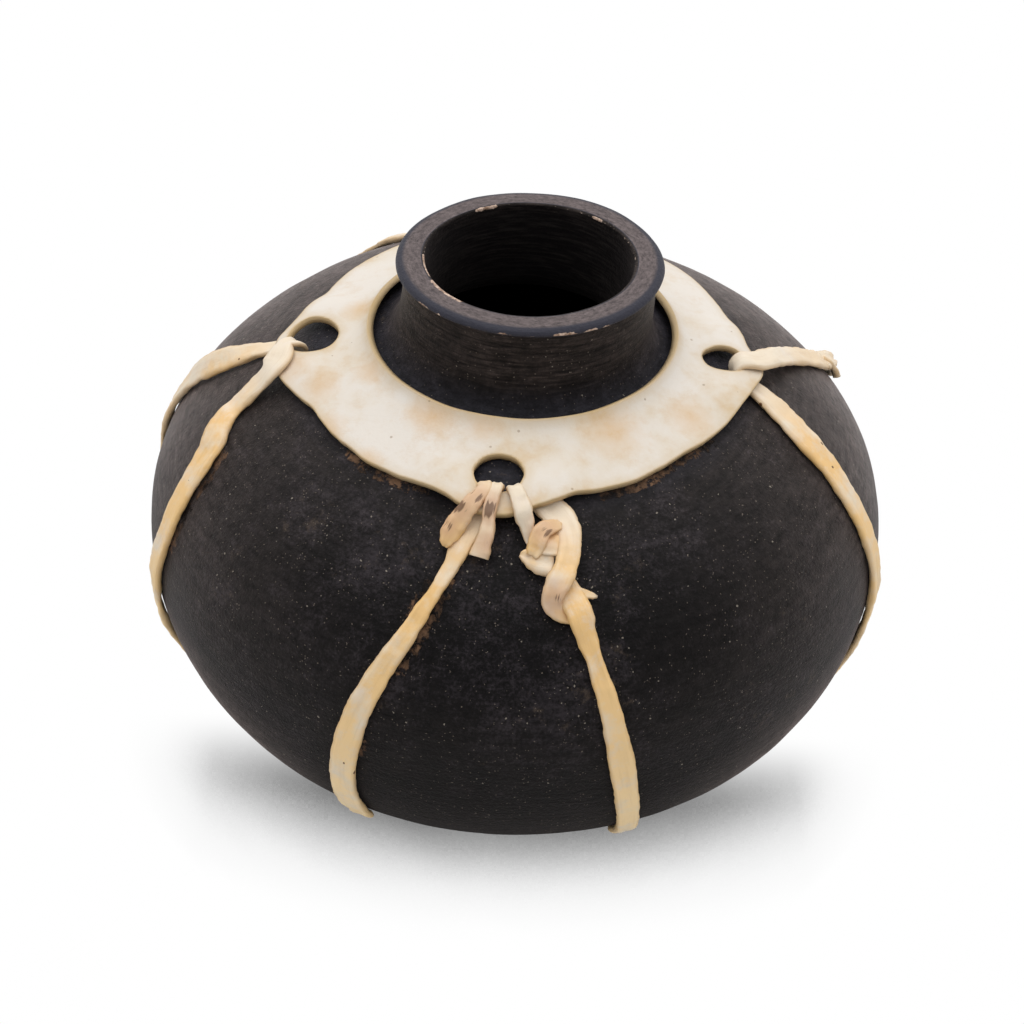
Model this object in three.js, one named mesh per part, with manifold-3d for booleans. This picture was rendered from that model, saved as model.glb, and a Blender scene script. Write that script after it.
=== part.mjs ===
// A hand-built black olla dressed in rawhide: a four-pointed collar lies round the neck, a
// ring of the same hide grips the underside round the foot, and two long thongs zigzag
// between the holes of the two, dried tight on the clay.
// Millimetres, +Z up. The clay foot stands on z = 0 and the pot turns about the Z axis.
// A place on the pot is given as [s, az]: s is the length along the clay from the pot's top
// centre down to the foot, and az the bearing in degrees, 0 at the front (-Y), 90 at +X.
import * as THREE from 'three';
import Module from 'manifold-3d';

const wasm = await Module();
wasm.setup();

// The clay pot.
const bodyRadius = 140;
const shoulderRise = 82.4;
const shoulderPower = 2.15;
const bellyDrop = 93.9;
const bellyPower = 2.28;
const footRadius = 48;
const rimRise = 111;
const rimRadius = 46.7;
const lipHeight = 5.5;
const lipRound = 2.4;
const neckRadius = 44.6;
const neckHollow = 0.5;
const flareReach = 10.5;
const flareRise = 12.5;
const mouthRadius = 36.7;
const mouthRound = 1.2;
const wall = 7.5;
const floorThick = 8;
const potSides = 60;

// The hide: a gap of one clearance lies between any two pieces.
const clearance = 0.3;
const hideThick = 2.6;
const thongThick = 2.8;
const thongEdge = 0.8;
const turnWidth = 6;

// The collar's outline, its raised inner lip and its four lacing holes.
const collarInner = 54;
const collarWaist = 77.5;
const collarTip = 88;
const lipCurl = 3;
const lipCurlReach = 8;
const collarHoleAt = 74.8;
const collarHoleRadius = 8.6;
const collarHoles = [-4, 87, 178, -92];

// The ring round the foot, cut like the collar but hidden under the pot.
const ringInner = 297;
const ringWaist = 281;
const ringTip = 272;
const ringHoleAt = 284.5;
const ringHoleRadius = 6.5;
const ringHoles = [-39, 38.5, 138, -127];

// How far either side of a hole the hide's point and its raised part reach, in degrees, how
// sharp the point is, and the shares of the hide's breadth between which it rises.
const tipSpread = 14;
const tipPower = 1.3;
const raisedFlat = 12;
const raisedEnd = 26;
const riseFrom = 0.3;
const riseTo = 0.8;

const clay = new THREE.MeshStandardMaterial({ color: 0x2a2725, roughness: 0.5, metalness: 0 });
const hide = new THREE.MeshStandardMaterial({ color: 0xeadfc8, roughness: 0.6, metalness: 0 });
const thong = new THREE.MeshStandardMaterial({ color: 0xe6d0a6, roughness: 0.55, metalness: 0 });

// Heights of a thong's middle above the clay: lying on the clay, and over a hide bridge
// that itself has a thong under it.
const onClay = clearance + thongThick / 2;
const raisedHide = 2 * clearance + thongThick;
const overHide = raisedHide + hideThick + clearance + thongThick / 2;

// The outside of the pot below the neck: a rounder curve above the widest line and a
// squarer one below it, traced as points with their length from the top centre.
const widestZ = bellyDrop * (1 - (footRadius / bodyRadius) ** bellyPower) ** (1 / bellyPower);
const skin = traceSkin();
const footS = skinWhere((p) => p.z < widestZ && p.r <= footRadius);
const flareS = skinWhere((p) => p.r >= neckRadius + flareReach);

function bulge(share, radius, height, power) {
  const turn = Math.min(share, 1) * Math.PI / 2;
  return [radius * Math.sin(turn) ** (2 / power), height * Math.cos(turn) ** (2 / power)];
}

function traceSkin() {
  const steps = 300;
  const points = [];
  for (let i = 0; i <= 2 * steps; i++) {
    const above = i <= steps;
    const share = above ? i / steps : 2 - i / steps;
    const [r, h] = above ? bulge(share, bodyRadius, shoulderRise, shoulderPower)
      : bulge(share, bodyRadius, bellyDrop, bellyPower);
    const p = { r, z: widestZ + (above ? h : -h), s: 0 };
    const last = points[points.length - 1];
    if (last) p.s = last.s + Math.hypot(r - last.r, p.z - last.z);
    points.push(p);
  }
  return points;
}

function skinWhere(test) {
  return skin.find(test).s;
}

// The clay at length s: radius, height and the outward direction there.
function skinAt(s) {
  let i = 1;
  while (i < skin.length - 1 && skin[i].s < s) i++;
  const a = skin[i - 1];
  const b = skin[i];
  const k = (s - a.s) / (b.s - a.s);
  const span = Math.hypot(b.r - a.r, b.z - a.z);
  return {
    r: a.r + (b.r - a.r) * k,
    z: a.z + (b.z - a.z) * k,
    nr: (a.z - b.z) / span,
    nz: (b.r - a.r) / span,
  };
}

function direction(az, r, z) {
  const a = THREE.MathUtils.degToRad(az);
  return new THREE.Vector3(r * Math.sin(a), -r * Math.cos(a), z);
}

function onPot(s, az, lift) {
  const c = skinAt(s);
  return direction(az, c.r + c.nr * lift, c.z + c.nz * lift);
}

function outward(s, az) {
  const c = skinAt(s);
  return direction(az, c.nr, c.nz).normalize();
}

// A body from rings of points, each ring a closed loop of the same count. The rings either
// close on the first one or get a flat cap at each end. It is turned to face out.
function bodyOfRings(rings, looped) {
  const sides = rings[0].length;
  const positions = rings.flat().flatMap((p) => [p.x, p.y, p.z]);
  const index = [];
  const last = looped ? rings.length : rings.length - 1;
  for (let i = 0; i < last; i++) {
    for (let j = 0; j < sides; j++) {
      const a = i * sides + j;
      const b = i * sides + (j + 1) % sides;
      const c = ((i + 1) % rings.length) * sides + j;
      const d = ((i + 1) % rings.length) * sides + (j + 1) % sides;
      index.push(a, b, d, a, d, c);
    }
  }
  if (!looped) {
    const end = (rings.length - 1) * sides;
    for (let j = 1; j < sides - 1; j++) {
      index.push(0, j + 1, j, end, end + j, end + j + 1);
    }
  }
  return facingOut(positions, index);
}

function facingOut(positions, index) {
  let volume = 0;
  const v = (i) => new THREE.Vector3().fromArray(positions, 3 * i);
  for (let i = 0; i < index.length; i += 3) {
    volume += v(index[i]).dot(v(index[i + 1]).cross(v(index[i + 2])));
  }
  if (volume < 0) index.reverse();
  const geometry = new THREE.BufferGeometry();
  geometry.setAttribute('position', new THREE.Float32BufferAttribute(positions, 3));
  geometry.setIndex(index);
  return geometry;
}

function toSolid(geometry) {
  return new wasm.Manifold(new wasm.Mesh({
    numProp: 3,
    vertProperties: new Float32Array(geometry.attributes.position.array),
    triVerts: new Uint32Array(geometry.index.array),
  }));
}

// Back from a cut or joined solid, keeping its one main body.
function toGeometry(solid) {
  const parts = solid.decompose().sort((a, b) => b.volume() - a.volume());
  const mesh = parts[0].getMesh();
  const geometry = new THREE.BufferGeometry();
  geometry.setAttribute('position', new THREE.Float32BufferAttribute(mesh.vertProperties, 3));
  geometry.setIndex([...mesh.triVerts]);
  return geometry;
}

function joined(geometries) {
  return geometries.map(toSolid).reduce((all, one) => all.add(one));
}

function curve2(from, bend, to, steps) {
  const line = new THREE.QuadraticBezierCurve(from, bend, to);
  return line.getPoints(steps).slice(1);
}

// The pot's section, from the middle of its underside round the outside and back inside.
function potSection() {
  const p = (r, z) => new THREE.Vector2(r, z);
  const outer = [p(0, 0), p(footRadius, 0)];
  const outerSteps = 15;
  for (let i = 1; i <= outerSteps; i++) {
    const c = skinAt(footS + (flareS - footS) * i / outerSteps);
    outer.push(p(c.r, c.z));
  }
  const root = skinAt(flareS);
  const slope = root.nr / root.nz;
  const bendZ = root.z + slope * flareReach;
  const rimZ = widestZ + rimRise;
  const lipZ = rimZ - lipHeight;
  const flare = curve2(p(root.r, root.z), p(neckRadius, bendZ),
    p(neckRadius, bendZ + flareRise), 5);
  const neck = [p(neckRadius - neckHollow, (bendZ + flareRise + lipZ) / 2), p(neckRadius, lipZ)];
  const lip = [
    ...curve2(p(neckRadius, lipZ), p(rimRadius, lipZ), p(rimRadius, lipZ + lipRound), 2),
    ...curve2(p(rimRadius, rimZ - lipRound), p(rimRadius, rimZ), p(rimRadius - lipRound, rimZ), 3),
    p(mouthRadius + mouthRound, rimZ),
    ...curve2(p(mouthRadius + mouthRound, rimZ), p(mouthRadius, rimZ),
      p(mouthRadius, rimZ - mouthRound), 2),
  ];
  return [...outer, ...flare, ...neck, ...lip, ...innerSection(p)];
}

// The inside keeps one wall of clay from the outside and ends in a flat floor.
function innerSection(p) {
  const inner = bodyRadius - wall;
  const throatReach = flareReach;
  const points = [];
  const upperSteps = 6;
  const lowerSteps = 6;
  const startR = mouthRadius + throatReach;
  const start = 2 / Math.PI * Math.asin((startR / inner) ** (shoulderPower / 2));
  for (let i = 0; i <= upperSteps; i++) {
    const [r, h] = bulge(start + (1 - start) * i / upperSteps, inner, shoulderRise - wall,
      shoulderPower);
    points.push(p(r, widestZ + h));
  }
  const throatZ = points[0].y;
  const throat = curve2(p(mouthRadius, throatZ + flareRise), p(mouthRadius, throatZ + 1),
    points[0], 4);
  const floorH = (widestZ - floorThick) / (bellyDrop - wall);
  const end = 2 / Math.PI * Math.acos(floorH ** (bellyPower / 2));
  for (let i = 1; i <= lowerSteps; i++) {
    const [r, h] = bulge(1 - (1 - end) * i / lowerSteps, inner, bellyDrop - wall, bellyPower);
    points.push(p(r, widestZ - h));
  }
  return [p(mouthRadius, throatZ + flareRise), ...throat.slice(0, -1), ...points,
    p(0, floorThick)];
}

function makePot() {
  const geometry = new THREE.LatheGeometry(potSection(), potSides);
  geometry.rotateX(Math.PI / 2);
  geometry.deleteAttribute('normal');
  geometry.deleteAttribute('uv');
  return geometry;
}

function awayFrom(az, holes) {
  const gaps = holes.map((h) => Math.abs(((az - h) % 360 + 540) % 360 - 180));
  return Math.min(...gaps);
}

// A ring of hide lying on the clay: from one edge to a four-pointed edge, raised over the
// thongs near its holes, with its first edge curled up by curl.
function hideRing(inner, waist, tip, holes, curl) {
  const turns = 72;
  const across = [0, 0.12, 0.4, 1];
  const edgeRound = 0.5;
  const way = Math.sign(tip - inner);
  const rings = [];
  for (let i = 0; i < turns; i++) {
    const az = 360 * i / turns - 180;
    const off = awayFrom(az, holes);
    const outer = waist + (tip - waist) * Math.exp(-((off / tipSpread) ** tipPower));
    const near = 1 - THREE.MathUtils.smoothstep(off, raisedFlat, raisedEnd);
    const bottom = across.map((k) => {
      const s = inner + (outer - inner) * k;
      const lip = Math.max(0, 1 - Math.abs(s - inner) / lipCurlReach);
      const point = THREE.MathUtils.smoothstep(k, riseFrom, riseTo);
      return [s, clearance + curl * lip * lip + (raisedHide - clearance) * near * point];
    });
    const first = bottom[0];
    const last = bottom[bottom.length - 1];
    const loop = [
      [first[0] - way * edgeRound, first[1] + hideThick / 2],
      ...bottom,
      [last[0] + way * edgeRound, last[1] + hideThick / 2],
      ...bottom.map(([s, lift]) => [s, lift + hideThick]).reverse(),
    ];
    rings.push(loop.map(([s, lift]) => onPot(s, az, lift)));
  }
  return bodyOfRings(rings, true);
}

function punch(s, az, radius) {
  const depth = 24;
  const shape = new THREE.Shape().absarc(0, 0, radius, 0, 2 * Math.PI);
  const geometry = new THREE.ExtrudeGeometry(shape, {
    depth, curveSegments: 12, bevelEnabled: false });
  geometry.translate(0, 0, -depth / 2);
  const turn = new THREE.Quaternion().setFromUnitVectors(
    new THREE.Vector3(0, 0, 1), outward(s, az));
  geometry.applyQuaternion(turn);
  geometry.translate(...onPot(s, az, hideThick).toArray());
  return weld(geometry);
}

function weld(geometry) {
  const seen = new Map();
  const positions = [];
  const index = [];
  const pos = geometry.attributes.position;
  const count = geometry.index ? geometry.index.count : pos.count;
  for (let i = 0; i < count; i++) {
    const k = geometry.index ? geometry.index.getX(i) : i;
    const xyz = [pos.getX(k), pos.getY(k), pos.getZ(k)];
    const key = xyz.map((x) => x.toFixed(4)).join();
    if (!seen.has(key)) {
      seen.set(key, positions.length / 3);
      positions.push(...xyz);
    }
    index.push(seen.get(key));
  }
  const solid = [];
  for (let i = 0; i < index.length; i += 3) {
    const [a, b, c] = index.slice(i, i + 3);
    if (a !== b && b !== c && c !== a) solid.push(a, b, c);
  }
  return facingOut(positions, solid);
}

// The way a thong takes: each place is [s, az, width, lift], with lift left out where it
// lies on the clay. Its flat stays parallel to the clay across the thong, also in a turn.
function layRoute(places) {
  const perDegree = 1.5;
  const fine = 24;
  const settle = 0.3;
  const line = new THREE.CatmullRomCurve3(
    places.map(([s, az, , lift = onClay]) => new THREE.Vector3(s, az * perDegree, lift)));
  const widths = new THREE.CatmullRomCurve3(
    places.map(([, , width], i) => new THREE.Vector3(width, i, 0)), false, 'catmullrom', 0);
  const count = (places.length - 1) * fine;
  const stops = [];
  for (let i = 0; i <= count; i++) {
    const q = line.getPoint(i / count);
    stops.push({
      at: onPot(q.x, q.y / perDegree, Math.max(q.z, onClay)),
      up: outward(q.x, q.y / perDegree),
      width: widths.getPoint(i / count).x,
      length: 0,
    });
  }
  stops.forEach((stop, i) => {
    const before = stops[Math.max(0, i - 1)].at;
    const after = stops[Math.min(count, i + 1)].at;
    stop.along = after.clone().sub(before).normalize();
    if (i) stop.length = stops[i - 1].length + stop.at.distanceTo(before);
  });
  let side = stops[0].up.clone().cross(stops[0].along);
  for (const stop of stops) {
    const level = stop.up.clone().cross(stop.along);
    const pull = settle * level.lengthSq() * (level.dot(side) < 0 ? -1 : 1);
    side = side.clone().addScaledVector(level, pull);
    side.addScaledVector(stop.along, -side.dot(stop.along)).normalize();
    stop.side = side;
    stop.flat = side.clone().cross(stop.along);
  }
  return { stops, fine };
}

// One stretch of a route as a flat strip with eased edges, grown all round by grow.
function strip(route, from, to, thick = thongThick, grow = 0) {
  const shortStep = 1;
  const longStep = 10;
  const sharpTurn = 0.3;
  const within = route.stops.filter((stop) => stop.length >= from && stop.length <= to);
  const kept = [within[0]];
  for (const stop of within) {
    const last = kept[kept.length - 1];
    const far = stop.length - last.length;
    if (far > longStep || (far > shortStep && stop.along.angleTo(last.along) > sharpTurn)) {
      kept.push(stop);
    }
  }
  const end = within[within.length - 1];
  if (end.length - kept[kept.length - 1].length < shortStep) kept.pop();
  kept.push(end);
  const rings = kept.map((stop) => {
    const w = stop.width / 2 + grow;
    const t = thick / 2 + grow;
    const e = thongEdge;
    const loop = [[w, t - e], [w - e, t], [e - w, t], [-w, t - e],
      [-w, e - t], [e - w, -t], [w - e, -t], [w, e - t]];
    return loop.map(([x, y]) => stop.at.clone().addScaledVector(stop.side, x)
      .addScaledVector(stop.flat, y));
  });
  return bodyOfRings(rings, false);
}

// The tight turn through a hole: over the bridge of hide, down through the hole, back
// under the bridge, or the other way round. way is the direction of s from the hole's edge
// out across the bridge.
function turnThrough(edge, way, azOver, azUnder, overFirst = true) {
  const middle = (overHide + onClay) / 2;
  const radius = (overHide - onClay) / 2;
  const centre = edge + way * (radius - clearance - thongThick / 2 - clearance);
  const steps = 4;
  const places = [];
  for (let i = 0; i <= steps; i++) {
    const a = Math.PI * i / steps;
    const az = azOver + (azUnder - azOver) * i / steps;
    places.push([centre - way * radius * Math.sin(a), az, turnWidth,
      middle + radius * Math.cos(a)]);
  }
  return overFirst ? places : places.reverse();
}

// Where the outer edge of a round hole lies under the flat of a thong.
const edgeDip = 1;
const collarEdge = collarHoleAt + collarHoleRadius - edgeDip;
const ringEdge = ringHoleAt - ringHoleRadius + edgeDip;

// The first thong starts in a slit hitch at the front, left of the hole, and ends in the
// splice at the right rear. Bearings run on past -180 as it goes round the back.
const firstThong = [
  ['lace_front_left', [[104, -10, 6.5], [116, -12, 6.5], [131, -15.5, 7.5], [146, -18.5, 8.5],
    [164, -21, 9], [182, -23, 9.5], [200, -24.2, 10.5], [217, -24.7, 11], [238, -26.5, 10],
    [256, -31, 8.5]]],
  ['turn_foot_front_left', [[264, -34, 7, 5], [270, -36.5, turnWidth, overHide],
    ...turnThrough(ringEdge, -1, -38, -40), [270, -41.5, turnWidth]]],
  ['lace_left_front', [[262, -44.5, 7.5], [240, -51, 8], [215, -57.5, 8], [195, -62.5, 7],
    [174, -66, 7], [154, -67.6, 7.5], [136, -68, 8], [124, -70, 7.5], [116, -72.5, 8],
    [107, -75.8, 9]]],
  ['turn_left_hole', [[98, -80, 9, 4], [92.5, -84.5, 9, overHide], [88, -88, 8, overHide],
    ...turnThrough(collarEdge, 1, -89.5, -92.5), [89, -93.3, 6.5]]],
  ['lace_left_back', [[95, -93.5, 7.5], [110, -94.3, 8], [127, -95.6, 8], [145, -96.2, 8],
    [160, -96.6, 8], [180, -98, 8], [200, -101, 8], [220, -105, 8], [240, -111, 8],
    [256, -118, 8]]],
  ['turn_foot_back_left', [[264, -122, 7, 5], [270, -124.5, turnWidth, overHide],
    ...turnThrough(ringEdge, -1, -126, -128), [270, -129.5, turnWidth]]],
  ['lace_back_left', [[262, -132.5, 7.5], [240, -136, 8], [215, -137.5, 8], [185, -138, 8],
    [160, -138, 8], [140, -139, 8], [121, -144, 8], [112, -150, 8], [105, -157, 8]]],
  ['turn_back_hole', [[98, -165.5, 8, 4], [92.5, -171, 8, overHide], [88, -175, 7, overHide],
    ...turnThrough(collarEdge, 1, -178.5, -183), [89, -185, 6.5]]],
  ['lace_back_right', [[95, -187, 7.5], [104, -190, 8], [115, -193, 8], [130, -197, 8],
    [150, -200.5, 8], [180, -205, 8], [215, -209, 8], [240, -213, 8], [256, -216.5, 8]]],
  ['turn_foot_back_right', [[264, -218.5, 7, 5], [270, -220, turnWidth, overHide],
    ...turnThrough(ringEdge, -1, -221.3, -223), [270, -224.5, turnWidth]]],
  ['lace_right_back_lower', [[262, -227.5, 7.5], [240, -232, 8], [215, -236.5, 8],
    [180, -242.5, 8], [160, -247, 8], [148, -250.5, 7]]],
];

// The second thong leaves the splice, goes up to the right hole, down to the ring and up
// to the knot at the front, right of the hole.
const secondThong = [
  ['lace_right_back_upper', [[134, 105, 7], [120, 101.5, 8], [107, 97.3, 8.5]]],
  ['turn_right_hole', [[98, 94.3, 8.5, 4], [92.5, 92, 8.5, overHide], [88, 90, 8, overHide],
    ...turnThrough(collarEdge, 1, 88.5, 85), [89, 81.5, 7]]],
  ['lace_right_front', [[94, 78.3, 8], [103, 74.8, 9], [118, 72, 9], [135, 70, 8.5],
    [154, 68.6, 8], [174, 68, 8], [195, 66, 8.5], [215, 62.5, 8.5], [240, 56.5, 8],
    [256, 49.5, 8]]],
  ['turn_foot_front_right', [[264, 45, 7, 5], [270, 42, turnWidth, overHide],
    ...turnThrough(ringEdge, -1, 39.7, 37.5), [270, 35.5, turnWidth]]],
  ['lace_front_right', [[262, 32, 7.5], [240, 25.5, 8.5], [225, 21.3, 9], [211, 18.8, 9],
    [191, 17.1, 9], [172, 15.8, 9], [154, 14.4, 9], [139, 12.9, 9], [128, 11.3, 8.5]]],
];

// The hitch at the start: the strand goes under the bridge and up through the hole, and
// its slit end folds back over the bridge as two short tails.
const hitchStrands = [
  [[104, -10, 6.5], [98, -8.8, 6.5], [91, -7.3, 6.5], [85.5, -6.4, 6.5], [81.6, -6.2, 6.5, 2.6],
    [80.4, -6.2, 6.5, 4.7], [81.6, -6.2, 6.5, 6.8]],
  [[80.4, -7.6, 6, 4.7], [81.9, -7.6, 6, 7.2], [85, -7.4, 6, overHide], [90, -9.2, 7, 7],
    [96, -11.6, 7.5, 5.2], [100.5, -12.8, 6, 3.6]],
  [[80.4, -4.9, 5.5, 4.7], [81.9, -4.8, 5.5, 7.2], [85, -4.6, 5.5, overHide],
    [92, -4.5, 6, 6.6], [98.5, -4.7, 6.5, 4.8], [103, -5, 5.5, 3.2]],
];

// The knot at the end: over the bridge, through the hole and out under the bridge, round
// the standing thong in a hitch with a short tail, and a twist where the thong folds.
const knotStrands = [
  [[101, 3.2, 5.5, 3.4], [95, 2.7, 6.5, 5.4], [89, 1.7, 7, overHide], [84, 0.6, 7, overHide],
    [81.3, 0.2, 6, 7], [80, 0.3, 6, 4.7], [81.5, 1, 6, 2.6], [84.5, 3.4, 6, onClay],
    [87.5, 7, 7, onClay], [92, 9.8, 9, 2.6], [100, 10.8, 9, 4.2], [108, 9.6, 9, 5.6],
    [114.5, 7.4, 7.5, 5.4], [119.5, 6.5, 6, 4], [123, 7.8, 5, 2.6], [123, 9.4, 5, onClay]],
  [[128, 11.3, 8.5], [120, 10.4, 8], [114, 8.8, 7], [108, 6.2, 6, 2.4], [104, 3.2, 6, 3.8],
    [102, 2.4, 6, 5.6], [99, 4, 6, 6.6], [95.5, 6.4, 6, 6], [94, 8.6, 5, 4.4]],
  [[115, 10.4, 5, 2.4], [116.3, 12.2, 4.5, 2.4], [117.5, 14, 3, 3]],
];

// The splice at the right rear: one thong's end is tied round the other's, and both tails
// stand off the clay.
const spliceStrands = [
  [[148, 109.5, 7], [141, 107.2, 7, 2.4], [134, 105, 7]],
  [[138, 110.2, 5, onClay], [139.5, 109, 5.5, 4.2], [141, 107.2, 6, 5.6], [142.5, 105.4, 5.5, 4.2],
    [144, 104.2, 5, onClay]],
  [[139, 106.5, 5.5, 3], [141.5, 107.8, 5.5, 6], [143, 109, 5, 9]],
  [[140, 106.5, 5.5, 3.5], [144, 106.6, 5.5, 5], [149, 106, 5, 5.4]],
];

function layThong(stretches) {
  const route = layRoute(stretches.flatMap(([, part]) => part));
  const lastStop = route.stops.length - 1;
  const half = clearance / 2;
  let index = 0;
  return stretches.map(([name, part]) => {
    const from = route.stops[index * route.fine].length + half;
    index += part.length;
    const to = route.stops[Math.min(index * route.fine, lastStop)].length - half;
    return { name, route, from, to };
  });
}

function wholeStrand(places, grow = 0) {
  const route = layRoute(places);
  const half = clearance / 2;
  const total = route.stops[route.stops.length - 1].length;
  const trim = grow ? 0 : half;
  return strip(route, trim, total - trim, thongThick, grow);
}

function makeKnot(strands, grow = 0) {
  return joined(strands.map((places) => wholeStrand(places, grow)));
}

const group = new THREE.Group();

function add(name, geometry, material) {
  geometry.computeVertexNormals();
  const mesh = new THREE.Mesh(geometry, material);
  mesh.name = name;
  group.add(mesh);
}

const stretches = [...layThong(firstThong), ...layThong(secondThong)];
const turns = stretches.filter(({ name }) => name.startsWith('turn'));
const turnSpaces = turns.map(({ route, from, to }) => (
  toSolid(strip(route, from, to, thongThick, clearance))));
const knotSpaces = [makeKnot(hitchStrands, clearance), makeKnot(knotStrands, clearance)];

function lacedHide(ring, at, radius, holes) {
  let solid = toSolid(ring);
  for (const az of holes) solid = solid.subtract(toSolid(punch(at, az, radius)));
  for (const space of [...turnSpaces, ...knotSpaces]) solid = solid.subtract(space);
  return toGeometry(solid);
}

add('olla_body', makePot(), clay);
add('neck_collar', lacedHide(hideRing(collarInner, collarWaist, collarTip, collarHoles, lipCurl),
  collarHoleAt, collarHoleRadius, collarHoles), hide);
add('foot_ring', lacedHide(hideRing(ringInner, ringWaist, ringTip, ringHoles, 0),
  ringHoleAt, ringHoleRadius, ringHoles), hide);
for (const { name, route, from, to } of stretches) add(name, strip(route, from, to), thong);
add('knot_front_left', toGeometry(makeKnot(hitchStrands)), thong);
add('knot_front_right', toGeometry(makeKnot(knotStrands)), thong);
add('knot_right_back', toGeometry(makeKnot(spliceStrands)), thong);

export default group;
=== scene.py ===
import math

import bpy
from mathutils import Matrix, Vector, noise
from mathutils.bvhtree import BVHTree


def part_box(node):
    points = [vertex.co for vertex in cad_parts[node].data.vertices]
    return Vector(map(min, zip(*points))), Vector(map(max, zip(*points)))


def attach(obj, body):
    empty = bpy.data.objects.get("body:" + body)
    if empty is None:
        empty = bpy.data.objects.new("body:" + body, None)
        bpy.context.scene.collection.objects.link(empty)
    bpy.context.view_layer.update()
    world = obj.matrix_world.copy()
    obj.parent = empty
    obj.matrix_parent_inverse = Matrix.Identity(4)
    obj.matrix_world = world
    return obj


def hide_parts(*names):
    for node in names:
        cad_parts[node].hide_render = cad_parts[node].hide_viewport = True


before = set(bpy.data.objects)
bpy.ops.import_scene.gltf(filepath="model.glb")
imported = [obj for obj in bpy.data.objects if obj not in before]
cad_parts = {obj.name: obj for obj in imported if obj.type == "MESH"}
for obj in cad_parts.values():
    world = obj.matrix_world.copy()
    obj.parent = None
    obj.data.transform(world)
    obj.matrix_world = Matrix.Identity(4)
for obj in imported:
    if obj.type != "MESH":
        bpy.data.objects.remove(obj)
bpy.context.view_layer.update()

# Camera
# The photograph's view: about half a metre in front of the pot and as much above it, looking
# down at 41 degrees through a 57 mm lens, with the horizon turned a little.
camera_place = (0, -0.4814, 0.5059)
camera_fall = math.radians(41.26)
camera_turn = math.radians(0.15)
camera_roll = math.radians(2.254)
facing = (Matrix.Rotation(camera_turn, 4, "Z") @ Matrix.Rotation(math.pi / 2 - camera_fall, 4, "X")
          @ Matrix.Rotation(camera_roll, 4, "Z"))
bpy.ops.object.camera_add(location=camera_place, rotation=facing.to_euler())
camera = bpy.context.object
camera.data.sensor_width = 36
camera.data.lens = 57.09
bpy.context.scene.camera = camera

# The pot
# One hand-built body of coarse earthenware, coiled and scraped, burnished with a stone while
# it was leather-hard, and fired in smoke until it was black. The flat rim was left matt.
mm = 0.001
body_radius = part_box("olla_body")[1].x / mm
shoulder_rise, shoulder_power = 82.4, 2.15
belly_drop, belly_power = 93.9, 2.28
foot_radius = 48
rim_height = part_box("olla_body")[1].z / mm
rim_radius, lip_height, lip_round, lip_under, lip_edge, lip_spread = 46.4, 2.6, 2, 0.3, 0.8, 1.7
neck_radius, neck_hollow, flare_reach, flare_rise = 44.6, 0.5, 10.5, 12.5
mouth_radius, mouth_round, wall, floor_thick = 36.7, 1.2, 7.5, 8
widest_z = belly_drop * (1 - (foot_radius / body_radius) ** belly_power) ** (1 / belly_power)


def bulge(share, radius, height, power):
    turn = min(share, 1) * math.pi / 2
    return radius * math.sin(turn) ** (2 / power), height * math.cos(turn) ** (2 / power)


def trace_skin(steps=300):
    """The clay's outline as (length from the top centre, radius, height), past the widest line
    to the foot's middle, in millimetres."""
    points = []
    for i in range(2 * steps + 1):
        above = i <= steps
        r, h = (bulge(i / steps, body_radius, shoulder_rise, shoulder_power) if above
                else bulge(2 - i / steps, body_radius, belly_drop, belly_power))
        z = widest_z + (h if above else -h)
        s = points[-1][0] + math.hypot(r - points[-1][1], z - points[-1][2]) if points else 0
        points.append((s, r, z))
    return points


skin = trace_skin()


def skin_at(s):
    """Radius, height and outward direction (across, up) of the clay at length s."""
    i = 1
    while i < len(skin) - 1 and skin[i][0] < s:
        i += 1
    (s0, r0, z0), (s1, r1, z1) = skin[i - 1], skin[i]
    k = (s - s0) / (s1 - s0)
    span = math.hypot(r1 - r0, z1 - z0)
    return r0 + (r1 - r0) * k, z0 + (z1 - z0) * k, (z0 - z1) / span, (r1 - r0) / span


def around(az, r, z):
    """The point at bearing az, in degrees from the front towards the right."""
    a = math.radians(az)
    return Vector((r * math.sin(a), -r * math.cos(a), z))


def arc(start, bend, end, steps):
    """Points of a bend from start to end, without the first."""
    points = []
    for i in range(1, steps + 1):
        k = i / steps
        points.append(tuple(a * (1 - k) ** 2 + 2 * b * k * (1 - k) + c * k * k
                            for a, b, c in zip(start, bend, end)))
    return points


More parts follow.
